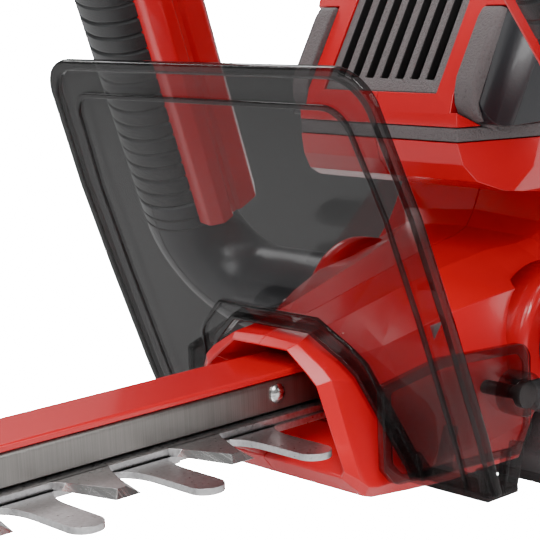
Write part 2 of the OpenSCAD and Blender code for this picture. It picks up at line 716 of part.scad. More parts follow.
module corner_bumper() {
    difference() {
        bumper_block();
        intersection() { head_solid(wall); bumper_zone(); }
        translate([vent_x, 0, vent_z - 9]) rotate([0, vent_tilt, 0]) translate([8, head_half_w + 1.2, 9])
            cube([30, 12, bumper_len - 8]);
        box(0, head_x + 60, 0, big, -big, fascia_z);
    }
}
module corner_bumper_left() { color("dimgray") in_frame() mirror([0, 1, 0]) corner_bumper(); }
module corner_bumper_right() { color("dimgray") in_frame() corner_bumper(); }

// ---- Front handle: a hoop that leans forward with the guard ----
module hoop_plane() { translate([hoop_x, 0, 0]) rotate([0, -hoop_lean, 0]) children(); }
module arc(radius, y, z, from, sweep) {
    translate([0, y, z]) rotate([90, 0, 90]) rotate([0, 0, from]) rotate_extrude(angle = sweep)
        translate([radius, 0]) children();
}
module on_leg(start) {
    // upright along the leg, starting so far above its foot
    translate([0, hoop_half_w, leg_foot_z]) rotate([leg_slope, 0, 0]) translate([0, 0, start]) children();
}
module foot_run(r, from_y) {
    translate([0, from_y, hoop_low]) rotate([-90, 0, 0]) cylinder(r = r, h = low_bend_y - from_y);
}
module hoop_side_low(r) {
    foot_run(r, shoulder_y);
    arc(hoop_low_r, low_bend_y, low_bend_z, 270, 90 + leg_slope) circle(r = r);
    on_leg(0) cylinder(r = r, h = grip_start);
}
module hoop_side_high(r) {
    on_leg(grip_start) cylinder(r = r, h = leg_len - grip_start);
    arc(hoop_high_r, high_bend_y, high_bend_z, leg_slope, 90 - leg_slope) circle(r = r);
    translate([0, 0, hoop_top]) rotate([-90, 0, 0]) cylinder(r = r, h = high_bend_y);
}
module hoop_sockets() {
    // holes that take the stubs at the handle's two feet
    hoop_plane() both_sides() translate([0, shoulder_y - stub_len, hoop_low]) rotate([-90, 0, 0])
        cylinder(r = core_r, h = 40);
}
module switch_bar_side(grow) {
    near = bar_in - grow;
    far = bar_out + grow;
    front = bar_front - grow;
    deep = bar_rear + grow - front;
    on_leg(bar_start - grow) translate([front, -far, 0]) cube([deep, far - near, leg_len - bar_start + grow]);
    arc(hoop_high_r, high_bend_y, high_bend_z, leg_slope, 90 - leg_slope)
        translate([-far, front]) square([far - near, deep]);
    translate([front, 0, hoop_top - far]) cube([deep, high_bend_y, far - near]);
}
module switch_groove() {
    for (rise = [0, 0.5, 1]) translate([0, 0, rise * switch_travel]) switch_bar_side(run_gap);
}
spring_y = 30;
spring_r = 3;
spring_h = 9;
switch_half_w = 8.5;
module spring_pockets() {
    for (y = [-spring_y, spring_y]) translate([4, y, hoop_top - bar_in - 2])
        cylinder(r = spring_r + 1.2, h = spring_h + 2);
    translate([-6, -switch_half_w, hoop_top - bar_in]) cube([10, 2 * switch_half_w, 14]);
}
module handle_core() {
    color("black") in_frame() hoop_plane() difference() {
        both_sides() {
            hoop_side_low(grip_r);
            hoop_side_high(core_r);
            foot_run(core_r, shoulder_y - stub_len);
        }
        both_sides() switch_groove();
        spring_pockets();
        both_sides() translate([0, shoulder_y - stub_len - 1, hoop_low]) rotate([-90, 0, 0])
            cylinder(r = 2, h = 31);
    }
}
module handle_grip() {
    color("dimgray") in_frame() hoop_plane() difference() {
        both_sides() hoop_side_high(grip_r);
        both_sides() hoop_side_high(core_r);
        both_sides() switch_groove();
        spring_pockets();
    }
}
module handle_screws() {
    color("silver") in_frame() hoop_plane() both_sides()
        translate([0, shoulder_y - stub_len, hoop_low]) rotate([-90, 0, 0]) cylinder(r = 2, h = 29);
}
module front_switch_bar() {
    color("red") in_frame() hoop_plane() both_sides() switch_bar_side(0);
}
module front_switch_springs() {
    color("silver") in_frame() hoop_plane() for (y = [-spring_y, spring_y])
        translate([4, y, hoop_top - bar_in]) coil_spring(spring_r, 0.5, spring_h, 5);
}
module front_switch() {
    color("navy") in_frame() hoop_plane() 
        translate([-6, -switch_half_w, hoop_top - bar_in + switch_travel + 1])
            cube([10, 2 * switch_half_w, 7]);
}

// ---- Rear handle ----
loop_back = loop_x + loop_len;
module rear_profile() {
    polygon([[head_back_x, 136], [262, rear_top + 2], [330, 122], [400, 108], [block_back_x - 14, 98],
        [block_back_x, 84], [block_back_x, block_bottom], [pack_x - 4, block_bottom], [pack_x - 8, -30],
        [pack_x - 14, -36], [body_back_x + 0.3, -36], [body_back_x + 0.3, 61], [head_back_x, head_bottom]]);
}
module loop_profile(grow = 0) {
    polygon([[loop_x + 8 - grow, loop_high + grow], [loop_back - 16 + grow, loop_high - 6 + grow],
        [loop_back + grow, loop_high - 24], [loop_back + grow, loop_low + 22],
        [loop_back - 18, loop_low - grow], [loop_x + 12, loop_low - grow],
        [loop_x - grow, loop_low + 14], [loop_x - grow, loop_high - 12]]);
}
module rear_solid() {
    across(rear_half_w) difference() { rear_profile(); loop_profile(); }
    box(pack_x - 4, block_back_x, -block_half_w, block_half_w, block_bottom, 84);
    box(body_back_x + 0.3, loop_x - 4, -34, 34, -36, 60);
    box(head_back_x, loop_x - 4, -34, 34, head_bottom, 120);
}
module rear_cavity() {
    inner = rear_half_w - wall;
    across(inner) difference() {
        polygon([[head_back_x - 1, 132], [262, rear_top - 2], [330, 118], [400, 104], [block_back_x - 16, 94],
            [block_back_x - wall, 82], [block_back_x - wall, bay_floor_z], [pack_x, bay_floor_z],
            [pack_x - 12, -26], [pack_x - 16, -32], [body_back_x + 4, -32], [body_back_x + 4, 56],
                [head_back_x - 1, 66]]);
        loop_profile(wall + 1);
    }
    box(pack_x, block_back_x - wall, -block_half_w + wall, block_half_w - wall, bay_floor_z, 84 - wall);
}
module rail_slots() {
    // T-shaped channel that takes the battery's rails
    box(pack_x + 5, 2 * big, -pack_rail_w + rail_lap - run_gap, pack_rail_w - rail_lap + run_gap,
        block_bottom - 1, rail_z);
    box(pack_x + 5, 2 * big, -pack_rail_w - run_gap, pack_rail_w + run_gap, rail_z - run_gap,
        rail_z + rail_t + run_gap);
}
rail_lap = 4;
rail_z = block_bottom + 3;  // underside of the battery's rails
rail_t = 3.2;
bay_floor_z = rail_z + rail_t + run_gap + 2.5;
contact_ys = [-12, -4, 4, 12];
contact_t = 1;
pack_rail_w = 26;
seat_z = trigger_z + 3.8 + 22 * sin(trigger_angle);
seat_t = 2.2;
module rear_shell() {
    difference() {
        union() {
            difference() {
                rear_solid();
                rear_cavity();
            }
            // shelf between the trigger spring and the lock-off spring
            box(lock_x - 7, trigger_x - 6, -rear_half_w + 1, rear_half_w - 1, seat_z, seat_z + seat_t);
        }
        // opening for the trigger and for the lock-off button
        box(trigger_x - 46, trigger_x - 4, -trigger_half_w - run_gap, trigger_half_w + run_gap,
            loop_high - 8, loop_high + 6);
        translate([lock_x, 0, 100]) cylinder(r = lock_r + run_gap, h = 40);
        rail_slots();
        for (y = contact_ys) box(pack_x + 8, pack_x + 22.5, y - contact_t / 2, y + contact_t / 2, rail_z,
            bay_floor_z + 1);
        translate([block_back_x - 30, 0, 92]) cylinder(r = 4, h = 20);
        translate([trigger_x, 0, trigger_z]) rotate([90, 0, 0])
            cylinder(r = pin_r, h = 2 * rear_half_w - 4, center = true);
    }
}
pin_r = 2;
module rear_handle_left() { color("red") in_frame() left_half() rear_shell(); }
module rear_handle_right() { color("red") in_frame() right_half() rear_shell(); }
module rear_grip() {
    x0 = trigger_x + 14;
    x1 = loop_back - 18;
    band = 2.2;
    color("dimgray") in_frame() difference() {
        intersection() {
            across(rear_half_w + band) polygon([[x0, loop_high - 6 - band], [x0, 140], [x1, 140],
                [x1, loop_high - 6 - band]]);
            across(rear_half_w + band) polygon([[262, rear_top + 2 + band], [330, 122 + band],
                [400, 108 + band], [400, 70], [262, 70]]);
        }
        across(rear_half_w) difference() { rear_profile(); loop_profile(); }
    }
}
trigger_spring_in = 13.4;
module trigger() {
    color("red") in_frame() difference() {
        union() {
            translate([trigger_x, 0, trigger_z]) rotate([90, 0, 0])
                cylinder(r = 5.5, h = 2 * trigger_half_w, center = true);
            across(trigger_half_w) polygon([[trigger_x - 42, loop_high - 10],
                [trigger_x - 36, loop_high - 13], [trigger_x - 14, loop_high - 8],
                [trigger_x + 1, trigger_z - 5], [trigger_x + 1, trigger_z + 2],
                    [trigger_x - 20, trigger_z + 1],
                [trigger_x - 41, trigger_z - 3]]);
        }
        translate([trigger_x, 0, trigger_z]) rotate([90, 0, 0])
            cylinder(r = pin_r + pin_gap, h = 40, center = true);
        upright(trigger_x - trigger_spring_in, trigger_z - 5, 3.6, 12);
    }
}
module trigger_pin() {
    color("silver") in_frame() translate([trigger_x, 0, trigger_z]) rotate([90, 0, 0])
        cylinder(r = pin_r, h = 2 * rear_half_w - 4, center = true);
}
module trigger_spring() {
    color("silver") in_frame() 
        translate([trigger_x - trigger_spring_in, 0, trigger_z - 5])
            coil_spring(2.6, 0.45, seat_z - trigger_z + 5, 6);
}
lock_low = rear_top - 9;
module lock_button() {
    color("black") in_frame() {
        upright(lock_x, lock_low, lock_r, 11 + lock_travel);
        upright(lock_x, lock_low, lock_r + 2, 2);
    }
}
module lock_spring() {
    spring_low = seat_z + seat_t;
    color("silver") in_frame() translate([lock_x, 0, spring_low])
        coil_spring(3.5, 0.35, lock_low - spring_low, 4);
}
module trigger_switch() {
    color("navy") in_frame() box(trigger_x + 10, trigger_x + 36, -9, 9, 100, 114);
}
module control_board() {
    color("green") in_frame() {
        box(pack_x + 6, block_back_x - 8, -30, 30, 60, 61.6);
        for (i = [0:2]) translate([pack_x + 20 + 22 * i, -12, 61.6]) cylinder(r = 5, h = 14);
        box(pack_x + 16, pack_x + 60, 6, 24, 61.6, 70);
    }
}
module status_lens() {
    color("white") in_frame() translate([block_back_x - 30, 0, 88]) {
        translate([0, 0, 4.2]) cylinder(r = 4, h = 8.3);
    }
}
module terminal_block() {
    color("black") in_frame() {
        box(pack_x + 2, pack_x + 24, -18, 18, bay_floor_z, bay_floor_z + 7);
        for (y = contact_ys) box(pack_x + 8, pack_x + 22.5, y - contact_t / 2, y + contact_t / 2,
            rail_z - 6, bay_floor_z);
    }
}

// ---- Battery ----
latch_x0 = pack_x + pack_len - 40;
latch_x1 = pack_x + pack_len - 16;
latch_z0 = 8;
latch_z1 = 22;
latch_in_y = pack_half_w - wall - 1.5;
latch_seat_y = latch_in_y - 3.5 - latch_travel;
module battery_case() {
    color("black") in_frame() difference() {
        union() {
            box(pack_x, pack_x + pack_len, -pack_half_w, pack_half_w, sole_z, pack_top);
            box(pack_x + 6, block_back_x, -pack_rail_w + rail_lap, pack_rail_w - rail_lap, pack_top,
                rail_z + rail_t);
            both_sides() box(pack_x + 10, block_back_x - 2, pack_rail_w - rail_lap - 1, pack_rail_w,
                rail_z, rail_z + rail_t);
        }
        box(pack_x + wall, pack_x + pack_len - wall, -pack_half_w + wall, pack_half_w - wall,
            sole_z + wall, pack_top - wall);
        for (y = contact_ys) box(pack_x - 1, pack_x + 26, y - 1, y + 1, rail_z - 7, rail_z + 5);
        both_sides() box(latch_x0, latch_x1, pack_half_w - wall - 1, pack_half_w + 1, latch_z0, latch_z1);
    }
    // ribs the latch springs push against
    color("black") in_frame() both_sides()
        box(latch_x0 + 6, latch_x1 - 6, latch_seat_y - 2.5, latch_seat_y, latch_z0, pack_top - wall + 0.5);
}
module battery_cells() {
    cell_r = 9;
    cell_len = 65;
    row_z = [sole_z + wall + cell_r + 1, sole_z + wall + 3 * cell_r + 2.5];
    color("steelblue") in_frame() for (z = row_z) for (k = [0:4])
        translate([pack_x + 14 + (pack_len - 28) / 4 * k, -cell_len / 2, z]) rotate([-90, 0, 0])
            cylinder(r = cell_r, h = cell_len);
}
module latch() {
    // thumb button with a flange behind the wall that stops it coming out
    box(latch_x0 + run_gap, latch_x1 - run_gap, latch_in_y, pack_half_w + 2, latch_z0 + run_gap,
        latch_z1 - run_gap);
    box(latch_x0 - 2, latch_x1 + 2, latch_in_y - 1.5, pack_half_w - wall - run_gap, latch_z0 - 1.5,
        latch_z1 + 1.5);
}
module latch_spring() {
    translate([(latch_x0 + latch_x1) / 2, latch_in_y - 1.5, (latch_z0 + latch_z1) / 2]) rotate([90, 0, 0])
        coil_spring(2.4, 0.45, latch_in_y - 1.5 - latch_seat_y, 4);
}
module battery_latch_left() { color("red") in_frame() mirror([0, 1, 0]) latch(); }
module battery_latch_right() { color("red") in_frame() latch(); }
module latch_spring_left() { color("silver") in_frame() mirror([0, 1, 0]) latch_spring(); }
module latch_spring_right() { color("silver") in_frame() latch_spring(); }
module housing_screws() {
    color("silver") in_frame() {
        both_sides() for (x = base_screw_xs) translate([x, body_half_w - 6.5, sole_z + 4.5])
            cylinder(r = base_screw_r, h = base_screw_len);
        for (p = [[240, -21], [pack_x - 18, 10], [pack_x - 18, 60]])
            translate([p.x, -rear_half_w - 1.6, p.y]) rotate([-90, 0, 0]) cylinder(r = 3.5, h = 1.6);
    }
}

lower_housing_left();
lower_housing_right();
base_cover();
nose_seal();
hand_guard();
guard_screws();
support_bar();
bar_cover();
bar_screws();
upper_blade();
lower_blade();
blade_bolts();
blade_washers();
blade_spacers();
tip_guard();
tip_screw();
gearbox_base();
gearbox_cover();
gearbox_screws();
gear_bearings();
drive_gear();
gear_shaft();
blade_cams();
motor_shell();
motor_stator();
motor_rotor();
motor_bearings();
motor_pinion();
cooling_fan();
upper_housing_left();
upper_housing_right();
vent_grille();
chin_trim();
corner_bumper_left();
corner_bumper_right();
handle_core();
handle_grip();
handle_screws();
front_switch_bar();
front_switch_springs();
front_switch();
rear_handle_left();
rear_handle_right();
rear_grip();
trigger();
trigger_pin();
trigger_spring();
lock_button();
lock_spring();
trigger_switch();
control_board();
status_lens();
terminal_block();
battery_case();
battery_cells();
battery_latch_left();
battery_latch_right();
latch_spring_left();
latch_spring_right();
housing_screws();
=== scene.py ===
import json
import math

import bmesh
import bpy
from mathutils import Matrix, Vector

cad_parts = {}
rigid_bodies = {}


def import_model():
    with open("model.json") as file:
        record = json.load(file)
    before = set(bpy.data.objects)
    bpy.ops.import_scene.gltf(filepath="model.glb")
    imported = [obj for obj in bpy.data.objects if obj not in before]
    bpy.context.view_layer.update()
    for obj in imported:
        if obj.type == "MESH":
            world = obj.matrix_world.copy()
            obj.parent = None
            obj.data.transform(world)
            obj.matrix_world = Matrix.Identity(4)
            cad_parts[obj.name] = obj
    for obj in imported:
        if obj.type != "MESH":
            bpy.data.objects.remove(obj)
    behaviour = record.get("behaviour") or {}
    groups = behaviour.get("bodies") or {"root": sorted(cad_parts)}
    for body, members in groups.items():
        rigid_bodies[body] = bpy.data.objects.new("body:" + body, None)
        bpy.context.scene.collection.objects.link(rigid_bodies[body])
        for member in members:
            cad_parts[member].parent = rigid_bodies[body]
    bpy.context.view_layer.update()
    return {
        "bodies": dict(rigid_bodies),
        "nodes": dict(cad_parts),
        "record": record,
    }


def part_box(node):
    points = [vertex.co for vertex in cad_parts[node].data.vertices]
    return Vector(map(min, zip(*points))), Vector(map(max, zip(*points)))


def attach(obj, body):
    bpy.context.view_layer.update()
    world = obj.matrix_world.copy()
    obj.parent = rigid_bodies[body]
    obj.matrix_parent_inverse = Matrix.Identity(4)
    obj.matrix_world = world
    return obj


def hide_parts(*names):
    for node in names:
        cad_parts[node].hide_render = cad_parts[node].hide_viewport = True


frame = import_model()
nodes = frame["nodes"]

MM = 0.001
FLAT_WEIGHT = 80  # how strongly large faces set the shading of their edges
MOUTH_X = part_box("lower_housing_left")[0][0]
BLADE_Z = (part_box("upper_blade")[0][2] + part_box("lower_blade")[1][2]) / 2


def at(x, y, z):
    """A place given in millimetres back from the blade mouth, to the right, and above the blade plane."""
    return Vector((MOUTH_X + x * MM, y * MM, BLADE_Z + z * MM))


# ---------------------------------------------------------------- surface effects
def new_group(name, inputs, outputs):
    group = bpy.data.node_groups.new(name, "ShaderNodeTree")
    for label, value in inputs:
        socket = group.interface.new_socket(label, in_out="INPUT", socket_type="NodeSocketFloat")
        socket.default_value = value
    for label, kind in outputs:
        group.interface.new_socket(label, in_out="OUTPUT", socket_type=kind)
    return group, group.nodes.new("NodeGroupInput"), group.nodes.new("NodeGroupOutput")


def math_node(tree, operation, a, b):
    """A sum of two levels, each a number or another node's socket."""
    node = tree.nodes.new("ShaderNodeMath")
    node.operation = operation
    for i, value in enumerate((a, b)):
        if isinstance(value, (int, float)):
            node.inputs[i].default_value = value
        else:
            tree.links.new(value, node.inputs[i])
    return node.outputs[0]


def make_grain_group():
    """Moulded grain: fine pits, wide soft ripples and a roughness that wanders a little."""
    tree, source, result = new_group(
        "moulded_grain",
        [("Pit Scale", 900.0), ("Pit Depth", 1.0), ("Ripple", 0.1), ("Roughness", 0.3), ("Wander", 0.08)],
        [("Height", "NodeSocketFloat"), ("Roughness", "NodeSocketFloat")])
    place = tree.nodes.new("ShaderNodeTexCoord")
    pits = tree.nodes.new("ShaderNodeTexNoise")
    pits.inputs["Detail"].default_value = 2.0
    tree.links.new(place.outputs["Object"], pits.inputs["Vector"])
    tree.links.new(source.outputs["Pit Scale"], pits.inputs["Scale"])
    soft = tree.nodes.new("ShaderNodeTexNoise")
    soft.inputs["Scale"].default_value = 28.0
    tree.links.new(place.outputs["Object"], soft.inputs["Vector"])
    pit_h = math_node(tree, "MULTIPLY", pits.outputs["Fac"], source.outputs["Pit Depth"])
    soft_h = math_node(tree, "MULTIPLY", soft.outputs["Fac"], source.outputs["Ripple"])
    tree.links.new(math_node(tree, "ADD", pit_h, soft_h), result.inputs["Height"])
    centred = math_node(tree, "SUBTRACT", soft.outputs["Fac"], 0.5)
    swing = math_node(tree, "MULTIPLY", centred, source.outputs["Wander"])
    tree.links.new(math_node(tree, "ADD", swing, source.outputs["Roughness"]), result.inputs["Roughness"])
    return tree


def make_brushed_group():
    """Brushed or ground metal: fine lines across one axis, with light and dark bands."""
    tree, source, result = new_group(
        "brushed_lines", [("Across", 1400.0), ("Along", 30.0), ("Depth", 1.0), ("Roughness", 0.35)],
        [("Height", "NodeSocketFloat"), ("Roughness", "NodeSocketFloat"), ("Shade", "NodeSocketFloat")])
    place = tree.nodes.new("ShaderNodeTexCoord")
    split = tree.nodes.new("ShaderNodeSeparateXYZ")
    tree.links.new(place.outputs["Object"], split.inputs[0])
    join = tree.nodes.new("ShaderNodeCombineXYZ")
    for axis, label in (("X", "Across"), ("Y", "Along"), ("Z", "Along")):
        stretched = math_node(tree, "MULTIPLY", split.outputs[axis], source.outputs[label])
        tree.links.new(stretched, join.inputs[axis])
    lines = tree.nodes.new("ShaderNodeTexNoise")
    lines.inputs["Scale"].default_value = 1.0
    lines.inputs["Detail"].default_value = 3.0
    tree.links.new(join.outputs[0], lines.inputs["Vector"])
    line_h = math_node(tree, "MULTIPLY", lines.outputs["Fac"], source.outputs["Depth"])
    tree.links.new(line_h, result.inputs["Height"])
    swing = math_node(tree, "MULTIPLY", math_node(tree, "SUBTRACT", lines.outputs["Fac"], 0.5), 0.35)
    tree.links.new(math_node(tree, "ADD", swing, source.outputs["Roughness"]), result.inputs["Roughness"])
    tree.links.new(lines.outputs["Fac"], result.inputs["Shade"])
    return tree


grain_group = make_grain_group()
brushed_group = make_brushed_group()


def new_material(name):
    material = bpy.data.materials.new(name)
    material.use_nodes = True
    tree = material.node_tree
    return material, tree, tree.nodes["Principled BSDF"]


def add_bump(tree, shader, height, strength, distance):
    bump = tree.nodes.new("ShaderNodeBump")
    bump.inputs["Strength"].default_value = strength
    bump.inputs["Distance"].default_value = distance
    tree.links.new(height, bump.inputs["Height"])
    tree.links.new(bump.outputs["Normal"], shader.inputs["Normal"])


def plastic(name, colour, rough=0.3, pit_scale=900.0, pit_depth=1.0, bump=0.1, ripple=0.1, wander=0.08,
            coat=0.0, mottle=0.0):
    """Moulded plastic or rubber with its grain."""
    material, tree, shader = new_material(name)
    grain = tree.nodes.new("ShaderNodeGroup")
    grain.node_tree = grain_group
    for label, value in (("Pit Scale", pit_scale), ("Pit Depth", pit_depth), ("Ripple", ripple),
                         ("Roughness", rough), ("Wander", wander)):
        grain.inputs[label].default_value = value
    tree.links.new(grain.outputs["Roughness"], shader.inputs["Roughness"])
    add_bump(tree, shader, grain.outputs["Height"], bump, 0.0004)
    shader.inputs["Coat Weight"].default_value = coat
    shader.inputs["Coat Roughness"].default_value = 0.08
    shader.inputs["Base Color"].default_value = (*colour, 1)
    if mottle:
        ramp = tree.nodes.new("ShaderNodeValToRGB")
        ramp.color_ramp.elements[0].position = 0.5 - mottle
        ramp.color_ramp.elements[1].position = 0.5 + mottle
        ramp.color_ramp.elements[0].color = (*[c * 0.55 for c in colour], 1)
        ramp.color_ramp.elements[1].color = (*[min(1, c * 1.7) for c in colour], 1)
        tree.links.new(grain.outputs["Height"], ramp.inputs[0])
        tree.links.new(ramp.outputs["Color"], shader.inputs["Base Color"])
    return material


def metal(name, colour, rough=0.35, across=1400.0, along=30.0, bump=0.15, dark=0.7):
    """Brushed, ground or cast metal."""
    material, tree, shader = new_material(name)
    lines = tree.nodes.new("ShaderNodeGroup")
    lines.node_tree = brushed_group
    for label, value in (("Across", across), ("Along", along), ("Roughness", rough)):
        lines.inputs[label].default_value = value
    ramp = tree.nodes.new("ShaderNodeValToRGB")
    ramp.color_ramp.elements[0].position = 0.3
    ramp.color_ramp.elements[1].position = 0.7
    ramp.color_ramp.elements[0].color = (*[c * dark for c in colour], 1)
    ramp.color_ramp.elements[1].color = (*colour, 1)
    tree.links.new(lines.outputs["Shade"], ramp.inputs[0])
    tree.links.new(ramp.outputs["Color"], shader.inputs["Base Color"])
    tree.links.new(lines.outputs["Roughness"], shader.inputs["Roughness"])
    shader.inputs["Metallic"].default_value = 1.0
    add_bump(tree, shader, lines.outputs["Height"], bump, 0.0002)
    return material


def smoky(name, colour, alpha, rough=0.04):
    """Smoke-tinted clear plastic that darkens where it is seen edge on."""
    material, tree, shader = new_material(name)
    grain = tree.nodes.new("ShaderNodeGroup")
    grain.node_tree = grain_group
    for label, value in (("Pit Scale", 8.0), ("Pit Depth", 0.4), ("Ripple", 0.4), ("Roughness", rough),
                         ("Wander", 0.03)):
        grain.inputs[label].default_value = value
    tree.links.new(grain.outputs["Roughness"], shader.inputs["Roughness"])
    add_bump(tree, shader, grain.outputs["Height"], 0.03, 0.0004)
    shader.inputs["Base Color"].default_value = (*colour, 1)
    shader.inputs["IOR"].default_value = 1.49
    shader.inputs["Specular IOR Level"].default_value = 0.3
    facing = tree.nodes.new("ShaderNodeLayerWeight")
    facing.inputs["Blend"].default_value = 0.35
    span = tree.nodes.new("ShaderNodeMapRange")
    span.inputs["To Min"].default_value = alpha
    span.inputs["To Max"].default_value = min(1.0, alpha + 0.35)
    tree.links.new(facing.outputs["Facing"], span.inputs["Value"])
    tree.links.new(span.outputs["Result"], shader.inputs["Alpha"])
    return material


M = {
    "red": plastic("glossy_red_shell", (0.62, 0.006, 0.012), rough=0.24, pit_scale=1500, pit_depth=0.8,
                   bump=0.06, ripple=0.4, coat=0.3),
    "dark": plastic("charcoal_grain", (0.028, 0.027, 0.028), rough=0.52, pit_scale=1500, pit_depth=1.4,
                    bump=0.55, mottle=0.25),
    "vent": plastic("vent_grain", (0.075, 0.068, 0.069), rough=0.6, pit_scale=1500, pit_depth=1.6, bump=0.8,
                    mottle=0.2),
    "satin": plastic("satin_black", (0.005, 0.006, 0.009), rough=0.36, pit_scale=1200, pit_depth=0.5,
                     bump=0.12, coat=0.1),
    "grip": plastic("grip_rubber", (0.011, 0.012, 0.013), rough=0.45, pit_scale=2200, pit_depth=1.2,
                    bump=0.3),
    "seal": plastic("seal_rubber", (0.008, 0.008, 0.008), rough=0.6, pit_scale=1500, pit_depth=1.0, bump=0.2),
    "navy": plastic("switch_body", (0.015, 0.025, 0.07), rough=0.4, pit_scale=1300, bump=0.12),
    "ivory": plastic("fan_nylon", (0.62, 0.6, 0.5), rough=0.45, pit_scale=1100, bump=0.15),
    "board": plastic("board_lacquer", (0.012, 0.11, 0.035), rough=0.25, pit_scale=500, bump=0.1, coat=0.3,
                     mottle=0.3),
    "wrap": plastic("cell_wrap", (0.02, 0.09, 0.32), rough=0.22, pit_scale=300, bump=0.08, coat=0.4),
    "lens": smoky("status_lens_clear", (0.75, 0.9, 0.75), 0.55),
    "pane": smoky("smoke_pane", (0.004, 0.0035, 0.0035), 0.24),
    "rim": smoky("smoke_rim", (0.003, 0.0025, 0.0025), 0.50),
    "blade": metal("ground_blade", (0.56, 0.555, 0.56), rough=0.34, across=900, along=900, bump=0.12,
                   dark=0.72),
    "ground": metal("ground_bevel", (0.78, 0.77, 0.76), rough=0.22, across=2200, along=60, bump=0.1,
                    dark=0.85),
    "bar": metal("brushed_bar", (0.30, 0.285, 0.27), rough=0.38, across=3400, along=25, bump=0.12, dark=0.75),
    "black_bolt": metal("blacked_screw", (0.09, 0.08, 0.08), rough=0.35, across=300, along=300, bump=0.05),
    "bolt": metal("plated_screw", (0.62, 0.61, 0.6), rough=0.2, across=300, along=300, bump=0.05, dark=0.85),
    "steel": metal("turned_steel", (0.5, 0.5, 0.51), rough=0.28, across=600, along=600, bump=0.08, dark=0.8),
    "gear": metal("oiled_gear", (0.33, 0.32, 0.31), rough=0.3, across=700, along=700, bump=0.1, dark=0.6),
    "cast": metal("cast_alloy", (0.52, 0.52, 0.53), rough=0.5, across=420, along=420, bump=0.4, dark=0.75),
    "shell": metal("motor_can", (0.07, 0.07, 0.075), rough=0.4, across=500, along=500, bump=0.1, dark=0.8),
    "copper": metal("copper_wire", (0.72, 0.34, 0.18), rough=0.3, across=60, along=2600, bump=0.5, dark=0.45),
    "wire": metal("spring_wire", (0.7, 0.7, 0.71), rough=0.18, across=900, along=900, bump=0.05, dark=0.85),
}
SLOT_FINISH = {
    "red_plastic": "red", "dark_plastic": "dark", "grip_rubber": "grip", "seal_rubber": "seal",
    "corner_plastic": "satin", "smoke_clear": "pane", "blade_steel": "blade", "bar_steel": "bar",
    "screw_steel": "bolt", "spacer_steel": "steel", "gear_steel": "gear", "shaft_steel": "steel",
    "gearbox_metal": "cast", "motor_metal": "shell", "copper_windings": "copper", "fan_plastic": "ivory",
    "spring_wire": "wire", "switch_plastic": "navy", "board_green": "board", "lens_clear": "lens",
    "cell_wrap": "wrap",
}
slot_of = {entry["node"]: entry["material_slot"] for entry in frame["record"]["subparts"]}
for node_name, node_obj in nodes.items():
    finish = M[SLOT_FINISH[slot_of[node_name]]]
    if not node_obj.material_slots:
        node_obj.data.materials.append(finish)
    for place in node_obj.material_slots:
        place.material = finish
for place in nodes["guard_screws"].material_slots:
    place.material = M["black_bolt"]
body_of = {member: body for body in frame["bodies"]
           for member in frame["record"]["behaviour"]["bodies"][body]}


# ---------------------------------------------------------------- making pieces
HALF_SEAM = 0.1   # from the middle line to the cut face of a moulded half
LOFT_SEAM = 0.12  # the same for the lower housing


def add_object(name, data):
    thing = bpy.data.objects.new(name, data)
    bpy.context.scene.collection.objects.link(thing)
    return thing


def new_piece(name, verts, faces, material):
    """A piece from its points and faces, in one material."""
    mesh = bpy.data.meshes.new(name)
    mesh.from_pydata([tuple(v) for v in verts], [], faces)
    piece = add_object(name, mesh)
    mesh.materials.append(material)
    face_outwards(mesh)
    return piece


def face_outwards(mesh):
    """Merges doubled points and turns every face outwards."""
    work = bmesh.new()
    work.from_mesh(mesh)
    bmesh.ops.remove_doubles(work, verts=work.verts, dist=1e-6)
    bmesh.ops.recalc_face_normals(work, faces=work.faces)
    work.to_mesh(mesh)
    work.free()


def prism_faces(count):
    """Ends and walls of a prism whose two outlines have count points each."""
    faces = [list(range(count))[::-1], list(range(count, 2 * count))]
    return faces + [[i, (i + 1) % count, count + (i + 1) % count, count + i] for i in range(count)]


def loft_faces(rings, count):
    """Walls between rings of count points each, and the two ends."""
    faces = []
    for s in range(rings - 1):
        for k in range(count):
            a, b = s * count + k, s * count + (k + 1) % count
            faces.append([a, b, b + count, a + count])
    return faces + [list(range(count)), [(rings - 1) * count + k for k in range(count)]]


def shade_smooth(mesh):
    for face in mesh.polygons:
        face.use_smooth = True


def finish_edges(piece, width, segments=3, angle=28):
    """Rounds the sharp edges of a piece and shades it so that its flat faces stay flat."""
    shade_smooth(piece.data)
    if width:
        bevel = piece.modifiers.new("rounded_edges", "BEVEL")
        bevel.width = width * MM
        bevel.segments = segments
        bevel.limit_method = "ANGLE"
        bevel.angle_limit = math.radians(angle)
        bevel.miter_outer = "MITER_ARC"
    weighted = piece.modifiers.new("flat_faces", "WEIGHTED_NORMAL")
    weighted.keep_sharp = True
    weighted.weight = FLAT_WEIGHT


def baked(piece):
    """Turns the piece's modifiers into plain mesh."""
    graph = bpy.context.evaluated_depsgraph_get()
    mesh = bpy.data.meshes.new_from_object(piece.evaluated_get(graph), depsgraph=graph)
    mesh.name = piece.name
    piece.modifiers.clear()
    piece.data = mesh
    return piece


def take_in(piece, *others):
    """Joins the others' meshes to the piece, with their materials."""
    work = bmesh.new()
    work.from_mesh(piece.data)
    for other in others:
        if other.modifiers:
            baked(other)
        table = {}
        for i, material in enumerate(other.data.materials):
            if material.name not in [m.name for m in piece.data.materials]:
                piece.data.materials.append(material)
            table[i] = [m.name for m in piece.data.materials].index(material.name)
        start = len(work.faces)
        work.from_mesh(other.data)
        work.faces.ensure_lookup_table()
        for face in work.faces[start:]:
            face.material_index = table.get(face.material_index, 0)
        bpy.data.objects.remove(other)
    work.to_mesh(piece.data)
    work.free()
    return piece


def ride_for(piece, *names):
    """The piece moves with its node's body and takes the node's place."""
    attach(piece, body_of[names[0]])
    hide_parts(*names)
    return piece


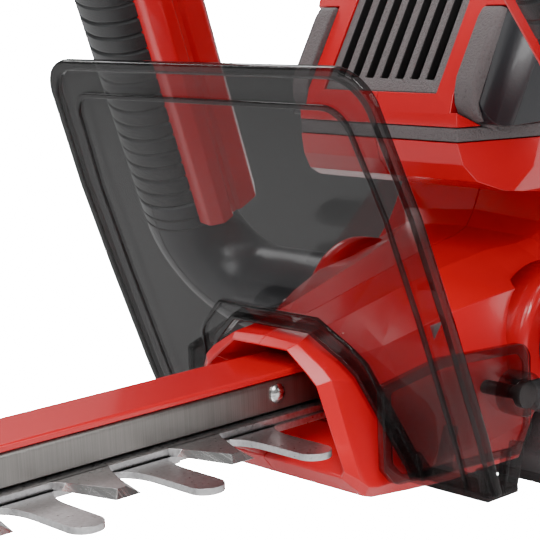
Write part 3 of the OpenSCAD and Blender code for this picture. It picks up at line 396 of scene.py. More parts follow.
def rounded(outline, radius, steps=5):
    """The outline with every corner rounded; radius is one number or one for each corner."""
    points = []
    count = len(outline)
    for i, corner in enumerate(outline):
        r = radius[i] if isinstance(radius, (list, tuple)) else radius
        here = Vector(corner)
        back = Vector(outline[i - 1]) - here
        on = Vector(outline[(i + 1) % count]) - here
        half = back.angle(on) / 2
        reach = 0
        if r > 0 and half < 1.56:
            reach = min(r / math.tan(half), back.length * 0.49, on.length * 0.49)
        if reach < 1e-4:
            points.append(tuple(here))
            continue
        a, b = here + back.normalized() * reach, here + on.normalized() * reach
        for k in range(steps + 1):
            t = k / steps
            points.append(tuple(a * (1 - t) ** 2 + here * 2 * t * (1 - t) + b * t ** 2))
    return points


def prism(name, outline, low, high, axis, material):
    """A straight prism: the outline is in (x, z) for axis y, (x, y) for axis z and (y, z) for axis x."""
    put = {"y": lambda p, w: at(p[0], w, p[1]), "z": lambda p, w: at(p[0], p[1], w),
           "x": lambda p, w: at(w, p[0], p[1])}[axis]
    count = len(outline)
    verts = [put(p, low) for p in outline] + [put(p, high) for p in outline]
    return new_piece(name, verts, prism_faces(count), material)


def slab(name, outline, holes, half_w, edge, material):
    """A plate that stands along the tool, with holes and a round edge all round."""
    curve = bpy.data.curves.new(name, "CURVE")
    curve.dimensions = "2D"
    curve.fill_mode = "BOTH"
    curve.extrude = (half_w - edge) * MM
    curve.bevel_depth = edge * MM
    curve.offset = -edge * MM
    curve.bevel_resolution = 4
    for ring in [outline] + holes:
        line = curve.splines.new("POLY")
        line.points.add(len(ring) - 1)
        line.use_cyclic_u = True
        for point, (x, z) in zip(line.points, ring):
            point.co = (x * MM, z * MM, 0, 1)
    shape = add_object(name + "_outline", curve)
    graph = bpy.context.evaluated_depsgraph_get()
    mesh = bpy.data.meshes.new_from_object(shape.evaluated_get(graph), depsgraph=graph)
    bpy.data.objects.remove(shape)
    origin = at(0, 0, 0)
    mesh.transform(Matrix(((1, 0, 0, origin.x), (0, 0, 1, 0), (0, 1, 0, origin.z), (0, 0, 0, 1))))
    mesh.materials.clear()
    mesh.materials.append(material)
    face_outwards(mesh)
    shade_smooth(mesh)
    for face in mesh.polygons:
        face.material_index = 0
    return add_object(name, mesh)


def boolean(piece, cutter, operation="DIFFERENCE", merge=False):
    """Cuts the piece with the cutter, which is used up; merge also unites the piece's own parts."""
    modifier = piece.modifiers.new("cut", "BOOLEAN")
    modifier.operation = operation
    modifier.solver = "EXACT"
    modifier.use_self = merge
    modifier.object = cutter
    baked(piece)
    bpy.data.objects.remove(cutter)


def half_of(piece, side, name):
    """A closed copy of one half of the piece, cut just off the middle line so that a fine seam shows."""
    copy = add_object(name, piece.data.copy())
    everything = [(-700, -300), (600, -300), (600, 300), (-700, 300)]
    half_space = prism("half_space", everything, side * HALF_SEAM, side * 300, "y", piece.data.materials[0])
    boolean(copy, half_space, "INTERSECT", merge=True)
    return copy


def rounded_copy(node, width, segments):
    """The CAD node's own shape with its edges rounded."""
    piece = add_object(node + "_shape", nodes[node].data.copy())
    work = bmesh.new()
    work.from_mesh(piece.data)
    bmesh.ops.remove_doubles(work, verts=work.verts, dist=2e-6)
    bmesh.ops.dissolve_limit(work, angle_limit=math.radians(1.0), verts=work.verts, edges=work.edges)
    work.to_mesh(piece.data)
    work.free()
    piece.data.materials.clear()
    piece.data.materials.append(M[SLOT_FINISH[slot_of[node]]])
    for face in piece.data.polygons:
        face.material_index = 0
    finish_edges(piece, width, segments)
    ride_for(piece, node)


# ---------------------------------------------------------------- repeated shapes
def socket_id(tree, label):
    """The identifier that a modifier knows the tree's input by."""
    return next(s.identifier for s in tree.interface.items_tree if s.in_out == "INPUT" and s.name == label)


def make_row_tree():
    """Geometry Nodes: copies one piece along a straight row, each copy turned the same way."""
    tree = bpy.data.node_groups.new("row_of_pieces", "GeometryNodeTree")
    face = tree.interface
    face.new_socket("Piece", in_out="INPUT", socket_type="NodeSocketObject")
    face.new_socket("Count", in_out="INPUT", socket_type="NodeSocketInt")
    face.new_socket("Start", in_out="INPUT", socket_type="NodeSocketVector")
    face.new_socket("Step", in_out="INPUT", socket_type="NodeSocketVector")
    face.new_socket("Turn", in_out="INPUT", socket_type="NodeSocketVector")
    face.new_socket("Material", in_out="INPUT", socket_type="NodeSocketMaterial")
    face.new_socket("Geometry", in_out="OUTPUT", socket_type="NodeSocketGeometry")
    source, result = tree.nodes.new("NodeGroupInput"), tree.nodes.new("NodeGroupOutput")
    line = tree.nodes.new("GeometryNodeMeshLine")
    tree.links.new(source.outputs["Count"], line.inputs["Count"])
    tree.links.new(source.outputs["Start"], line.inputs["Start Location"])
    tree.links.new(source.outputs["Step"], line.inputs["Offset"])
    info = tree.nodes.new("GeometryNodeObjectInfo")
    tree.links.new(source.outputs["Piece"], info.inputs["Object"])
    spread = tree.nodes.new("GeometryNodeInstanceOnPoints")
    tree.links.new(line.outputs["Mesh"], spread.inputs["Points"])
    tree.links.new(info.outputs["Geometry"], spread.inputs["Instance"])
    tree.links.new(source.outputs["Turn"], spread.inputs["Rotation"])
    real = tree.nodes.new("GeometryNodeRealizeInstances")
    tree.links.new(spread.outputs["Instances"], real.inputs["Geometry"])
    paint = tree.nodes.new("GeometryNodeSetMaterial")
    tree.links.new(real.outputs["Geometry"], paint.inputs["Geometry"])
    tree.links.new(source.outputs["Material"], paint.inputs["Material"])
    tree.links.new(paint.outputs["Geometry"], result.inputs["Geometry"])
    return tree


row_tree = make_row_tree()


def row_of(name, piece, count, start, step, material, turn=(0, 0, 0)):
    """A row of count copies of a small piece, which is used up; start and step are in millimetres."""
    holder = add_object(name, bpy.data.meshes.new(name))
    modifier = holder.modifiers.new("row", "NODES")
    modifier.node_group = row_tree
    values = {"Piece": piece, "Count": count, "Start": tuple(at(*start)),
              "Step": tuple(s * MM for s in step), "Turn": tuple(turn), "Material": material}
    for label, value in values.items():
        modifier[socket_id(row_tree, label)] = value
    bpy.context.view_layer.update()
    baked(holder)
    if not holder.data.materials:
        holder.data.materials.append(material)
    bpy.data.objects.remove(piece)
    return holder


def small(name, verts, faces, material, bevel=0.0, segments=2):
    """A small piece in millimetres round the origin, ready to be copied."""
    piece = new_piece(name, [Vector(v) * MM for v in verts], faces, material)
    if bevel:
        finish_edges(piece, bevel, segments)
        baked(piece)
    return piece


def make_hoop_tree():
    """Geometry Nodes: a round bar along a path, with grooves cut round it at an even pitch."""
    tree = bpy.data.node_groups.new("grooved_hoop", "GeometryNodeTree")
    face = tree.interface
    face.new_socket("Geometry", in_out="INPUT", socket_type="NodeSocketGeometry")
    for label, value in (("Radius", 0.017), ("Groove Depth", 0.0006), ("Groove Pitch", 0.0055),
                         ("Groove Width", 0.0009), ("Step", 0.0005)):
        face.new_socket(label, in_out="INPUT", socket_type="NodeSocketFloat").default_value = value
    face.new_socket("Material", in_out="INPUT", socket_type="NodeSocketMaterial")
    face.new_socket("Geometry", in_out="OUTPUT", socket_type="NodeSocketGeometry")
    source, result = tree.nodes.new("NodeGroupInput"), tree.nodes.new("NodeGroupOutput")
    link = tree.links.new
    line = tree.nodes.new("GeometryNodeMeshToCurve")
    link(source.outputs["Geometry"], line.inputs["Mesh"])
    fine = tree.nodes.new("GeometryNodeResampleCurve")
    fine.mode = "LENGTH"
    link(line.outputs["Curve"], fine.inputs["Curve"])
    link(source.outputs["Step"], fine.inputs["Length"])
    along = tree.nodes.new("GeometryNodeSplineParameter")
    phase = math_node(tree, "MODULO", along.outputs["Length"], source.outputs["Groove Pitch"])
    inside = math_node(tree, "LESS_THAN", phase, source.outputs["Groove Width"])
    cut = math_node(tree, "MULTIPLY", inside, source.outputs["Groove Depth"])
    radius = math_node(tree, "SUBTRACT", source.outputs["Radius"], cut)
    size = tree.nodes.new("GeometryNodeSetCurveRadius")
    link(fine.outputs["Curve"], size.inputs["Curve"])
    link(radius, size.inputs["Radius"])
    circle = tree.nodes.new("GeometryNodeCurvePrimitiveCircle")
    circle.inputs["Resolution"].default_value = 56
    circle.inputs["Radius"].default_value = 1.0
    skin = tree.nodes.new("GeometryNodeCurveToMesh")
    skin.inputs["Fill Caps"].default_value = True
    link(size.outputs["Curve"], skin.inputs["Curve"])
    link(circle.outputs["Curve"], skin.inputs["Profile Curve"])
    if "Scale" in skin.inputs:
        link(radius, skin.inputs["Scale"])
    real = tree.nodes.new("GeometryNodeRealizeInstances")
    link(skin.outputs["Mesh"], real.inputs["Geometry"])
    paint = tree.nodes.new("GeometryNodeSetMaterial")
    link(real.outputs["Geometry"], paint.inputs["Geometry"])
    link(source.outputs["Material"], paint.inputs["Material"])
    link(paint.outputs["Geometry"], result.inputs["Geometry"])
    return tree


hoop_tree = make_hoop_tree()


def round_bar(name, path, radius, material, groove=0.0, pitch=5.5, width=0.9, step=0.5):
    """A round bar along a path of points, grooved where groove is more than nothing."""
    mesh = bpy.data.meshes.new(name)
    mesh.from_pydata([tuple(p) for p in path], [(i, i + 1) for i in range(len(path) - 1)], [])
    piece = add_object(name, mesh)
    modifier = piece.modifiers.new("hoop", "NODES")
    modifier.node_group = hoop_tree
    values = {"Radius": radius * MM, "Groove Depth": groove * MM, "Groove Pitch": pitch * MM,
              "Groove Width": width * MM, "Step": step * MM, "Material": material}
    for label, value in values.items():
        modifier[socket_id(hoop_tree, label)] = value
    bpy.context.view_layer.update()
    baked(piece)
    if not piece.data.materials:
        piece.data.materials.append(material)
    face_outwards(piece.data)
    shade_smooth(piece.data)
    return piece


# ---------------------------------------------------------------- blades
TEETH = 15                     # on each side of each blade
PITCH = 40.0
UPPER_UNDER, UPPER_TOP = 0.05, 2.05
LOWER_UNDER, LOWER_TOP = -2.05, -0.05
FIRST_TINE = -19.1
BLADE_FRONT = FIRST_TINE - PITCH * (TEETH - 1) - 21
BLADE_REAR = 63.1


def make_blades():
    """Bevelled teeth on the upper blade, blunt tines on the lower one, and a yoke behind each."""
    upper_root, upper_reach = 15.5, 36.5
    low = [(-10, 14.5), (-9, 18.5), (-4.2, upper_reach), (4.2, upper_reach), (9, 18.5), (10, 14.5)]
    high = [(-10, 14.5), (-7.4, 19.0), (-1.5, 33.6), (1.5, 33.6), (7.4, 19.0), (10, 14.5)]
    verts = [(x, y, UPPER_UNDER) for x, y in low] + [(x, y, UPPER_TOP) for x, y in high]
    parts = []
    for turn in (0, math.pi):
        tooth = small("cutting_tooth", verts, prism_faces(len(low)), M["blade"], bevel=0.12)
        parts.append(row_of("teeth", tooth, TEETH, (-PITCH, 0, 0), (-PITCH, 0, 0), M["blade"],
                            turn=(0, 0, turn)))
    rail = blade_rail("upper_blade_shape", upper_root, UPPER_UNDER, UPPER_TOP)
    take_in(rail, yoke_of("upper_yoke", UPPER_UNDER, UPPER_TOP), *parts)
    rail.data.materials.append(M["ground"])
    flanks = len(rail.data.materials) - 1
    for face in rail.data.polygons:
        if abs(face.center.y) > 19 * MM and 0.1 < face.normal.z < 0.93:
            face.material_index = flanks
    smooth(rail)
    ride_for(rail, "upper_blade")

    root, reach, r = 17.0, 47.9, 5.3
    flares = []
    for side in (-1, 1):
        turns = [math.pi / 2 * k / 8 for k in range(9)]
        flares.append([(side * (r + 6.7 * (1 - math.sin(t))), root - 1.5 + 12.5 * (1 - math.cos(t)))
                       for t in turns])
    tip = [(r * math.cos(a), reach - r + r * math.sin(a)) for a in
           [math.pi - math.pi * k / 16 for k in range(17)]]
    outline = flares[0] + tip + flares[1][::-1]
    verts = [(x, y, LOWER_UNDER) for x, y in outline] + [(x, y, LOWER_TOP) for x, y in outline]
    parts = []
    for turn in (0, math.pi):
        tine = small("blunt_tine", verts, prism_faces(len(outline)), M["blade"], bevel=0.3)
        parts.append(row_of("tines", tine, TEETH, (FIRST_TINE, 0, 0), (-PITCH, 0, 0), M["blade"],
                            turn=(0, 0, turn)))
    rail = blade_rail("lower_blade_shape", root, LOWER_UNDER, LOWER_TOP)
    take_in(rail, yoke_of("lower_yoke", LOWER_UNDER, LOWER_TOP), *parts)
    smooth(rail)
    ride_for(rail, "lower_blade")


def blade_rail(name, root, under, top):
    """The straight strip that a blade's teeth or tines stand on; root is its half width."""
    outline = [(BLADE_FRONT, -root), (BLADE_REAR, -root), (BLADE_REAR, root), (BLADE_FRONT, root)]
    rail = prism(name, outline, under, top, "z", M["blade"])
    finish_edges(rail, 0.15, 2)
    return baked(rail)


def yoke_of(name, z0, z1):
    """The frame at the blade's rear that the cam turns in."""
    outer = [(56.6, -28.4), (133.4, -28.4), (133.4, 28.4), (56.6, 28.4)]
    inner = [(62.6, -22.4), (127.4, -22.4), (127.4, 22.4), (62.6, 22.4)]
    verts = [at(x, y, z) for z in (z0, z1) for ring in (outer, inner) for x, y in ring]
    faces = []
    for i in range(4):
        j = (i + 1) % 4
        faces += [[i, j, 4 + j, 4 + i], [8 + i, 12 + i, 12 + j, 8 + j], [i, 8 + i, 8 + j, j],
                  [4 + i, 4 + j, 12 + j, 12 + i]]
    return new_piece(name, verts, faces, M["blade"])


def smooth(piece):
    """Smooth shading for a joined piece, in which the large faces stay flat."""
    shade_smooth(piece.data)
    weighted = piece.modifiers.new("flat_faces", "WEIGHTED_NORMAL")
    weighted.weight = FLAT_WEIGHT


make_blades()


# ---------------------------------------------------------------- bar over the blades
def make_bar():
    """The folded bar over the blades, open underneath, and the red strip along its top."""
    blade_tip = -638.2
    front, back = blade_tip + 20.1, 58.0
    half, top, base, wall = 11.9, 12.5, 2.75, 2.0
    outer = rounded([(-half, base), (-half, top), (half, top), (half, base)], [0.4, 2.2, 2.2, 0.4])
    inner = rounded([(half - wall, base), (half - wall, top - wall), (-half + wall, top - wall),
                     (-half + wall, base)], [0.4, 1.0, 1.0, 0.4])
    channel = prism("support_bar_shape", outer + inner, front, back, "x", M["bar"])
    finish_edges(channel, 0)
    ride_for(channel, "support_bar")
    x0, x1 = front + 14, back - 20
    strip = rounded([(-half, top), (-half, top + 2), (half, top + 2), (half, top)], [0.2, 1.7, 1.7, 0.2])
    cover = prism("bar_cover_shape", strip, x0, x1, "x", M["red"])
    finish_edges(cover, 0)
    ride_for(cover, "bar_cover")


make_bar()
rounded_copy("tip_guard", 1.5, 4)

# ---------------------------------------------------------------- lower housing
MOUTH = [(0, 16), (13.3, 16), (13.6, 6), (22.5, 4), (22.5, -4.6), (20, -5), (0, -5)]
HOUSING_SECTIONS = [
    # distance back, then half outline from the top middle round to the bottom middle
    (40.0, MOUTH),
    (15.0, MOUTH),
    (0.4, [(0, 20.2), (12, 20.2), (20.6, 14), (24.3, 11), (34.6, -12.8), (33.4, -14.6), (0, -14.6)]),
    (0.0, [(0, 20.8), (12.3, 20.8), (21.1, 14.5), (24.8, 11.4), (35.3, -13.1), (33.9, -15.2), (0, -15.2)]),
    (2.8, [(0, 23.0), (14.2, 22.3), (24.8, 16.3), (28.4, 13.1), (39.1, -15.6), (37.3, -18.8), (0, -18.8)]),
    (5.4, [(0, 23.5), (13.8, 22.8), (24.8, 16.6), (28.8, 12.8), (39.9, -18), (37.6, -21.4), (0, -21.4)]),
    (9.0, [(0, 24.3), (12.6, 23.7), (24.6, 17.2), (29.6, 12), (40, -19), (37.4, -22.6), (0, -22.6)]),
    (26.7, [(0, 28.1), (13.5, 27.4), (27, 19), (33.5, 9), (40, -19.5), (36, -25.0), (0, -25.0)]),
    (46.0, [(0, 32.4), (15, 31.9), (33.5, 25.4), (39, 10), (40, -17), (36.5, -26.4), (0, -26.4)]),
    (64.0, [(0, 36.4), (17, 36.0), (39, 29.5), (43.5, 13), (40, -16), (36.5, -26.4), (0, -26.4)]),
    (77.5, [(0, 39.3), (20, 38.8), (40.6, 31), (45.5, 16), (43, -12), (37.5, -26.4), (0, -26.4)]),
    (82.0, [(0, 40.3), (21, 39.8), (42, 32), (47, 20), (47.6, 3.4), (46, 3), (0, 3)]),
    (92.0, [(0, 42.0), (26, 41.2), (43, 32.4), (47.8, 22), (48, 3.2), (46, 3), (0, 3)]),
    (97.0, [(0, 43.8), (28, 42.6), (41.5, 36), (48, 26), (48, 3.2), (46, 3), (0, 3)]),
    (101.0, [(0, 49.0), (32, 47.0), (40, 42), (48, 28), (48, 3.2), (46, 3), (0, 3)]),
    (105.0, [(0, 57.2), (36, 57.2), (40, 48), (48, 29), (48, 3.2), (46, 3), (0, 3)]),
    (195.9, [(0, 57.2), (36, 57.2), (40, 48), (48, 29), (48, 3.2), (46, 3), (0, 3)]),
]


def loft_half(name, sections, side, material):
    """A closed half shell through half outlines, with its flat face a hair off the middle line."""
    count = len(sections[0][1])
    verts = []
    for x, ring in sections:
        for y, z in ring:
            verts.append(at(x, side * max(y, LOFT_SEAM), z))
    faces = []
    for s in range(len(sections) - 1):
        for k in range(count - 1):
            a, b = s * count + k, (s + 1) * count + k
            faces.append([a, a + 1, b + 1, b])
    rows = len(sections)
    faces.append([s * count for s in range(rows)] + [s * count + count - 1 for s in reversed(range(rows))])
    faces.append([k for k in range(count)])
    faces.append([(rows - 1) * count + k for k in range(count)])
    return new_piece(name, verts, faces, material)


def disc(name, x, z, r, y0, y1, edge, material, flat_above=None, flat_below=None):
    """A short round boss across the tool with a rounded outer rim, cut level where asked."""
    steps = 48
    side = 1 if y1 > y0 else -1
    rings = [(y0, r), (y1 - side * edge, r)]
    rings += [(y1 - side * edge * (1 - math.sin(a)), r - edge * (1 - math.cos(a))) for a in
              (math.radians(22), math.radians(45), math.radians(68), math.radians(90))]
    verts = []
    for y, radius in rings:
        for k in range(steps):
            a = 2 * math.pi * k / steps
            zz = z + radius * math.sin(a)
            if flat_above is not None:
                zz = min(zz, flat_above)
            if flat_below is not None:
                zz = max(zz, flat_below)
            verts.append(at(x + radius * math.cos(a), y, zz))
    return new_piece(name, verts, loft_faces(len(rings), steps), material)


SHOULDER = (90.0, 12.0, 24.7)  # x, z and radius of the round bosses that carry the front handle
GEAR_X, CHAMBER_R = 95, 33     # the drive gear's axis, and the room it turns in


for side, node in ((-1, "lower_housing_left"), (1, "lower_housing_right")):
    shell = loft_half(node + "_shape", HOUSING_SECTIONS, side, M["red"])
    angles = [math.pi * k / 24 for k in range(48)]
    chamber = [(GEAR_X + CHAMBER_R * math.cos(a), CHAMBER_R * math.sin(a)) for a in angles]
    boolean(shell, prism("gear_chamber", chamber, -3, 26, "z", M["red"]))
    finish_edges(shell, 0.7, 3, 12)
    baked(shell)
    boss = disc("shoulder_boss", *SHOULDER, side * 36, side * 50, 3.0, M["red"], flat_below=3.2)
    take_in(shell, boss)
    finish_edges(shell, 0)
    ride_for(shell, node)

base = slab("base_cover_shape", rounded([(82.4, 2.8), (79.5, -24), (90, -36), (204, -36), (204, 2.8)],
                                        [0.5, 8, 8, 5, 3]), [], 48, 2.2, M["dark"])
sole = slab("sole", rounded([(90, -30), (92, -40), (194, -40), (196, -30)], [1, 2, 2, 1]), [], 38, 1.2,
            M["dark"])
low_bosses = [disc("low_boss", *SHOULDER, s * 36, s * 50, 3.0, M["dark"], flat_above=2.8) for s in (-1, 1)]
take_in(base, sole, *low_bosses)
finish_edges(base, 0)
ride_for(base, "base_cover")


# ---------------------------------------------------------------- motor housing
def head_solid(name, material):
    """The outside of the motor housing: its side view, narrowed in plan and under the chin."""
    side_view = [(104, 57.5), (68, 62.6), (60, 66), (55.6, 71.5), (54, 78.4), (54, 87.2), (55.8, 93.3),
                 (87.2, 145.5), (98, 150), (190, 150), (214, 136), (214, 62.1), (196.2, 62.1), (196.2, 57.5)]
    body = prism(name, side_view, -46, 46, "y", material)
    plan = prism("plan_cut", [(54, -34.5), (80, -46.01), (214.5, -46.01), (214.5, 46.01), (80, 46.01),
                              (54, 34.5)], 40, 170, "z", material)
    boolean(body, plan, "INTERSECT")
    hull = prism("hull_cut", [(-37, 57.3), (-42, 61.5), (-45, 69), (-46.01, 78.2), (-46.01, 151),
                              (46.01, 151), (46.01, 78.2), (45, 69), (42, 61.5), (37, 57.3)], 40, 230, "x", material)
    boolean(body, hull, "INTERSECT")
    return body


VENT_X, VENT_Z, TILT = 55.8, 93.3, math.radians(31)  # foot of the vent face and its lean
VENT_HALF, SLOT_WIDE, SLOTS, SLOT_MARGIN = 24.8, 3.3, 7, 3.5


def on_vent(across, up, out):
    """A place on the sloping vent face: to the right, up the slope and out of it."""
    return (VENT_X + up * math.sin(TILT) - out * math.cos(TILT), across,
            VENT_Z + up * math.cos(TILT) + out * math.sin(TILT))


def vent_block(name, a0, a1, u0, u1, o0, o1, material):
    """A block in the vent face's own directions: across, up and out."""
    corners = [(a0, u0, o0), (a1, u0, o0), (a1, u1, o0), (a0, u1, o0),
               (a0, u0, o1), (a1, u0, o1), (a1, u1, o1), (a0, u1, o1)]
    faces = [[0, 1, 2, 3], [4, 5, 6, 7], [0, 1, 5, 4], [1, 2, 6, 5], [2, 3, 7, 6], [3, 0, 4, 7]]
    return new_piece(name, [at(*on_vent(*c)) for c in corners], faces, material)


def make_head():
    """The two motor housing halves, the grille in the sloping vent face, and the strip round the chin."""
    body = head_solid("upper_housing_shape", M["red"])
    boolean(body, vent_block("vent_hole", -VENT_HALF, VENT_HALF, 0, 54, -40, 8, M["red"]))
    groove = [(40, 78.4), (40, 83.2), (88, 83.2), (88, 78.4)]
    boolean(body, prism("strip_groove", groove, -60, 60, "y", M["red"]))
    for side in (-1, 1):
        boolean(body, vent_block("bumper_seat", side * 32, side * 62, -5.6, 30.6, -19, 14, M["red"]))
    for side, node in ((-1, "upper_housing_left"), (1, "upper_housing_right")):
        part = half_of(body, side, node + "_shape")
        finish_edges(part, 1.6, 3, 20)
        ride_for(part, node)
    bpy.data.objects.remove(body)

    grille = vent_block("vent_grille_shape", -24.6, 24.6, 0.2, 53.8, -4.0, -0.6, M["vent"])
    pitch = (2 * (VENT_HALF - SLOT_MARGIN) - SLOT_WIDE) / (SLOTS - 1)
    for i in range(SLOTS):
        a = -VENT_HALF + SLOT_MARGIN + i * pitch
        boolean(grille, vent_block("slot", a, a + SLOT_WIDE, 5, 49, -8, 4, M["vent"]))
    # The slot walls and the grille's back faces get the black seal material: painted shade for the dark insides of
    # the slots.
    grille.data.materials.append(M["seal"])
    outwards = Vector((-math.cos(TILT), 0, math.sin(TILT)))
    for face in grille.data.polygons:
        inside = abs(face.center.y) < 21.4 * MM and abs(face.normal.dot(outwards)) < 0.5
        face.material_index = 1 if inside or face.normal.dot(outwards) < -0.5 else 0
    finish_edges(grille, 0.5, 2, 30)
    # A black plate behind the slots: painted shade for the dark inside of the vent.
    shade_sheet = vent_block("vent_backing", -24.6, 24.6, 0.4, 53.6, -7, -5, M["seal"])
    baked(grille)
    take_in(grille, shade_sheet)
    smooth(grille)
    ride_for(grille, "vent_grille")

    strip = head_solid("chin_strip", M["vent"])
    band = [(40, 78.7), (40, 82.9), (87.8, 82.9), (87.8, 78.7)]
    boolean(strip, prism("strip_band", band, -60, 60, "y", M["vent"]), "INTERSECT")
    core = [(57, -33), (82, -43), (120, -43), (120, 43), (82, 43), (57, 33)]
    boolean(strip, prism("strip_core", core, 70, 90, "z", M["vent"]))
    finish_edges(strip, 0.5, 2)
    ride_for(strip, "chin_trim")


make_head()


def bumper_shape(name, profile, stations, side, material):
    """A loft up the vent face: each station is (height, pull back, pull in)."""
    verts = []
    for up, back, inwards in stations:
        for across, out in profile:
            out_here = out - back if out > -15 else out
            verts.append(at(*on_vent(side * min(across, 48.7 - inwards), up, out_here)))
    return new_piece(name, verts, loft_faces(len(stations), len(profile)), material)


def make_bumpers():
    """A bumper on each corner of the vent face: an upright leaf and a cheek with a hollow between them."""
    leaf_section = [(32.3, -18), (32.3, 2.2), (39.4, 2.2), (40.4, 0.6), (40.4, -18)]
    stations = [(-5.2, 9.0, 7.0), (-4.4, 6.0, 3.6), (-2.4, 3.2, 1.6), (0.8, 1.2, 0.5), (5.0, 0, 0),
                (25.5, 0, 0), (28.6, 0.6, 0.3), (30.0, 1.6, 1.2)]
    for side, node in ((-1, "corner_bumper_left"), (1, "corner_bumper_right")):
        leaf = bumper_shape(node + "_shape", leaf_section, stations, side, M["vent"])
        outline = rounded([(57.5, 90.5), (60.5, 83.6), (80, 83.6), (97, 97), (104, 116), (100, 123),
                           (72.5, 119.4)], [2, 3, 8, 10, 5, 4, 2])
        cheek = prism("cheek", outline, side * 38, side * 48.7, "y", M["satin"])
        cove = [(40.4, 6), (40.4, -1.6), (41.6, -5.2), (44.2, -8.6), (47.2, -11.0), (52, -13.2), (62, -13.2),
                (62, 6)]
        points = [at(*on_vent(side * across, up, out)) for up in (-30, 60) for across, out in cove]
        count = len(cove)
        boolean(cheek, new_piece("cove", points, [list(range(count)), list(range(count, 2 * count))] + [
            [i, (i + 1) % count, count + (i + 1) % count, count + i] for i in range(count)], M["satin"]))
        finish_edges(leaf, 0.9, 3, 24)
        finish_edges(cheek, 1.1, 3, 24)
        baked(leaf)
        take_in(leaf, cheek)
        smooth(leaf)
        ride_for(leaf, node)


make_bumpers()

# ---------------------------------------------------------------- hand guard
GUARD_X, GUARD_LEAN = 15.5, math.radians(20.4)


def on_guard(y, up, out):
    """A place on the leaning guard: to the right, up its face, and behind its front face."""
    return at(GUARD_X - up * math.sin(GUARD_LEAN) + out * math.cos(GUARD_LEAN), y,
              up * math.cos(GUARD_LEAN) + out * math.sin(GUARD_LEAN))


def guard_edge(inset):
    """Half outline of the guard from the top middle down to the foot."""
    top, foot = 114.7 - inset, -20.0
    widths = [(top, 72.0), (104, 72.4), (66 / 0.937, 75.2), (38, 76), (0, 75.8), (foot, 74.6)]
    r = 13.0 - inset * 0.4
    side = [(w - inset, u) for u, w in widths[1:]]
    corner = [(72.0 - inset - r + r * math.sin(a), top - r + r * math.cos(a)) for a in
              [math.pi / 2 * k / 8 for k in range(9)]]
    return [(0, top), (30, top)] + corner + [p for p in side if p[1] < top - r - 1]


# half width of the nose and the ramp where they pass through the guard, by height
NOSE_FIT = [(-30, 41.6), (-15, 40.8), (13.6, 31.4), (17.5, 27.7), (25.6, 16.7)]


def nose_edge(grow):
    """The cut-out that the nose and the ramp stand in, as (to the right, up the guard)."""
    half = [(y + grow, (z + (grow if z > 0 else 0)) / math.cos(GUARD_LEAN)) for z, y in NOSE_FIT]
    return half + [(-y, u) for y, u in reversed(half)]


def plate(name, outline, near, far, material):
    """A flat plate in the guard's plane, between two depths."""
    count = len(outline)
    verts = [on_guard(y, u, near) for y, u in outline] + [on_guard(y, u, far) for y, u in outline]
    return new_piece(name, verts, prism_faces(count), material)


def whole_edge(inset):
    """The guard's whole outline, this far inside its edge."""
    half = guard_edge(inset)
    return half + [(-y, u) for y, u in reversed(half[1:])]


def ring_plate(name, outer, inner, near, far, nose_gap, material, edge):
    """A band between two outlines, kept clear of the nose."""
    band = plate(name, outer, near, far, material)
    if inner:
        boolean(band, plate("inside", inner, near - 5, far + 5, material))
    boolean(band, plate("nose_gap", nose_edge(nose_gap), near - 9, far + 9, material))
    if edge:
        finish_edges(band, edge, 3, 40)
    return band


def make_guard():
    """The clear guard: thicker rim, pane, moulded line, collars round the nose, skirts and feet."""
    inside = [(y, u if u > -19 else -30) for y, u in whole_edge(3.4)]
    parts = [ring_plate("hand_guard_shape", whole_edge(0), inside, 0.0, 3.0, 0, M["rim"], 0.9)]
    parts.append(ring_plate("guard_pane", whole_edge(3.3), None, 0.5, 2.5, 0, M["pane"], 0))
    line_in = [(y, u if u > -18 else -30) for y, u in whole_edge(12.2)]
    parts.append(ring_plate("guard_line", whole_edge(10.6), line_in, -0.6, 0.6, 5, M["rim"], 0.4))
    for grow, wide, near, far in ((0.0, 1.3, -1.2, 5.0), (4.6, 1.0, -0.7, 0.5)):
        band = plate("guard_collar", nose_edge(grow + wide), near, far, M["rim"])
        boolean(band, plate("nose_gap", nose_edge(grow), near - 5, far + 5, M["rim"]))
        low = plate("below", [(-90, -60), (90, -60), (90, -20), (-90, -20)], near - 9, far + 9, M["rim"])
        boolean(band, low)
        finish_edges(band, 0.5, 2, 40)
        parts.append(band)
    for side in (-1, 1):
        parts += skirt(side)
        parts += foot_gusset(side)
    guard = parts[0]
    baked(guard)
    take_in(guard, *parts[1:])
    smooth(guard)
    ride_for(guard, "hand_guard")


def skirt(side):
    """The clear side wing that covers the flank of the housing back to the shoulder."""
    outline = rounded([(8, 12.5), (30, 17.5), (62, 17), (64, 13), (64, -11), (60, -18), (12, -18), (8, -13)],
                      [2, 3, 5, 3, 5, 4, 3, 2])
    thick, rib_top = 2.6, 3.4

    def wall(x):
        """Half width between the skirts, which spread towards the shoulder."""
        return 41.2 + (x - 8) / 56 * 9.4

    count = len(outline)
    verts = [at(x, side * (wall(x) + lift), z) for lift in (0, thick) for x, z in outline]
    faces = [list(range(count)), list(range(count, 2 * count))]
    faces += [[i, (i + 1) % count, count + (i + 1) % count, count + i] for i in range(count)]
    pane = new_piece("skirt_pane", verts, faces, M["pane"])
    finish_edges(pane, 0.7, 3, 50)
    inner = [((x - 36) * 0.9 + 36, (z + 0.5) * 0.84 - 0.5) for x, z in outline]
    verts = []
    for ring, lift in ((outline, thick), (outline, rib_top), (inner, rib_top), (inner, thick)):
        verts += [at(x, side * (wall(x) + lift), z) for x, z in ring]
    faces = []
    for g in range(3):
        for i in range(count):
            j = (i + 1) % count
            faces.append([g * count + i, g * count + j, (g + 1) * count + j, (g + 1) * count + i])
    rib = new_piece("skirt_rib", verts, faces, M["rim"])
    finish_edges(rib, 0.3, 2, 50)
    boss = disc("skirt_boss", 58, 2, 7, side * 50.4, side * (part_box("guard_screws")[1][1] / MM + 0.6), 1.2,
                M["pane"])
    finish_edges(boss, 0)
    return [pane, rib, boss]


